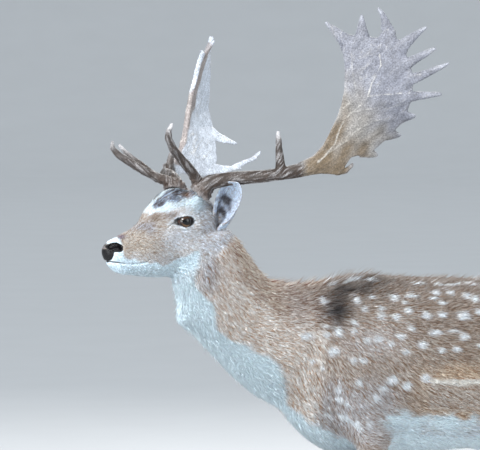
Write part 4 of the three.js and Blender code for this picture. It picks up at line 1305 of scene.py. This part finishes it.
def eye_finish():
    f = Finish("eye", 0.06, 0.22)
    gaze = f.attribute("gaze", "Vector")
    parts = f.add("SeparateXYZ", {"Vector": gaze})
    y, z = parts.outputs["Y"], parts.outputs["Z"]
    off = f.add("VectorMath", {0: f.stretched(1, 1, 0, gaze)}, operation="LENGTH").outputs["Value"]
    from_pupil = f.add("VectorMath", {0: f.stretched(1.6, 2.5, 0, gaze)}, operation="LENGTH").outputs["Value"]
    fibres = f.noise(1.0, 3.0, f.stretched(9, 9, 2, gaze))
    iris = f.mix(fibres, tint(36, 26, 20), tint(66, 46, 34))
    amber = f.mix(f.band(y, -0.1, -0.5), iris, tint(92, 70, 48))
    iris = f.mix(f.band(off, 0.55, 0.66), amber, iris)
    edge = f.mix(f.band(off, 0.62, 0.76), iris, tint(30, 20, 16))
    white = f.mix(f.band(off, 0.8, 0.88), edge, tint(60, 46, 42))
    front = f.mix(f.band(z, 0.0, 0.2), tint(74, 58, 52), white)
    f.colour(f.mix(f.band(from_pupil, 0.95, 1.05), tint(6, 6, 10), front))
    f.set(f.shader, "Coat Weight", 0.25)
    f.set(f.shader, "Coat Roughness", 0.02)
    f.bump(fibres, 0.02)
    return f.material


def antler_finish():
    f = Finish("antler", 0.55, 0.4)
    colour = varied(f, f.attribute("bone"), 60, 0.8, 1.16)
    grain = f.noise(330, 5.0)
    f.colour(f.mix(1.0, colour, f.band(grain, 0.32, 0.68, 0.6, 1.3), "MULTIPLY"))
    f.set(f.shader, "Roughness", f.band(grain, 0.3, 0.7, 0.62, 0.45))
    f.bump(grain, 0.5)
    f.bump(f.band(f.cells(230), 0.0, 0.5, 0, 1), 0.35)
    return f.material


def horn_finish():
    f = Finish("horn", 0.45, 0.4)
    rings = f.noise(1.0, 3.0, f.stretched(60, 60, 420))
    colour = f.mix(f.band(rings, 0.3, 0.7), tint(38, 32, 30), tint(84, 72, 64))
    f.colour(varied(f, colour, 90, 0.75, 1.2))
    f.set(f.shader, "Roughness", f.band(rings, 0.3, 0.7, 0.38, 0.6))
    f.bump(rings, 0.3)
    return f.material


def floor_finish():
    f = Finish("floor", 0.9, 0.1)
    f.colour(varied(f, (*tint(184, 186, 189), 1), 3, 0.985, 1.01))
    return f.material


# The studio

def make_floor():
    """A wide round floor whose rim curves up."""
    profile = bmesh.new()
    reach, rise = 26.0, 9.0
    outline = [(0.0, 0.0), (reach, 0.0)]
    outline += [(reach + rise * math.sin(t), rise * (1 - math.cos(t))) for t in np.linspace(0.08, 1.4, 18)]
    spots = [profile.verts.new((x, 0, z)) for x, z in outline]
    edges = [profile.edges.new(pair) for pair in zip(spots[:-1], spots[1:])]
    bmesh.ops.spin(
        profile, geom=spots + edges, cent=(0, 0, 0), axis=(0, 0, 1), angle=math.tau, steps=96, use_merge=True
    )
    bmesh.ops.remove_doubles(profile, verts=profile.verts[:], dist=1e-4)
    bmesh.ops.recalc_face_normals(profile, faces=profile.faces[:])
    mesh = mesh_of("floor", profile)
    if sum(face.normal.z for face in mesh.polygons) < 0:
        mesh.flip_normals()
    mesh.materials.append(floor_finish())
    mesh.shade_smooth()
    object_of("floor", mesh)


AIM = Vector((-0.3323, -0.0552, 1.0075))  # what the camera looks at, just over the nape


def turned_to(spot, target):
    return (Vector(target) - Vector(spot)).to_track_quat("-Z", "Y").to_euler()


def make_camera():
    azimuth, elevation, distance = math.radians(-16), math.radians(3), 9.0
    data = bpy.data.cameras.new("camera")
    data.lens, data.sensor_width, data.clip_end = 314, 36, 200
    camera = bpy.data.objects.new("camera", data)
    back = Vector((
        math.sin(azimuth) * math.cos(elevation), -math.cos(azimuth) * math.cos(elevation), math.sin(elevation)
    ))
    camera.location = AIM + back * distance
    camera.rotation_euler = turned_to(camera.location, AIM)
    bpy.context.scene.collection.objects.link(camera)
    bpy.context.scene.camera = camera


def make_lights():
    middle = (0, 0, 0.9)
    lamps = {  # place, size, power and colour
        "key": ((-3.4, -3.8, 4.4), 2.4, 480, (1.0, 1.0, 1.0)),
        "fill": ((-4.4, -3.6, 1.3), 3.0, 200, (0.9, 0.97, 1.0)),
        "side": ((3.8, -3.4, 2.0), 3.5, 110, (0.94, 0.98, 1.0)),
        "back": ((1.8, 4.2, 3.8), 2.5, 170, (1.0, 0.97, 0.93)),
    }
    for name, (spot, size, power, colour) in lamps.items():
        data = bpy.data.lights.new(name, "AREA")
        data.shape, data.size, data.energy, data.color = "DISK", size, power, colour
        lamp = bpy.data.objects.new(name, data)
        lamp.location, lamp.rotation_euler = spot, turned_to(spot, middle)
        bpy.context.scene.collection.objects.link(lamp)
    world = bpy.data.worlds.new("studio")
    world.use_nodes = True
    background = world.node_tree.nodes["Background"]
    background.inputs["Color"].default_value = (0.9, 0.96, 1.0, 1)
    background.inputs["Strength"].default_value = 1.05
    bpy.context.scene.world = world
    bpy.context.scene.view_settings.view_transform = "Standard"


def make_buck():
    skin = skin_mesh()
    make_coat(skin, coat_finish())
    finished("skin", skin, skin_finish(), "coat", *FLESH)
    eye = eye_finish()
    antler = antler_finish()
    for side in SIDES:
        make_eye(side, eye)
        make_antler(side, antler)
    horn = horn_finish()
    for leg in LEGS:
        make_hooves(leg, horn)


make_camera()
make_floor()
make_lights()
make_buck()
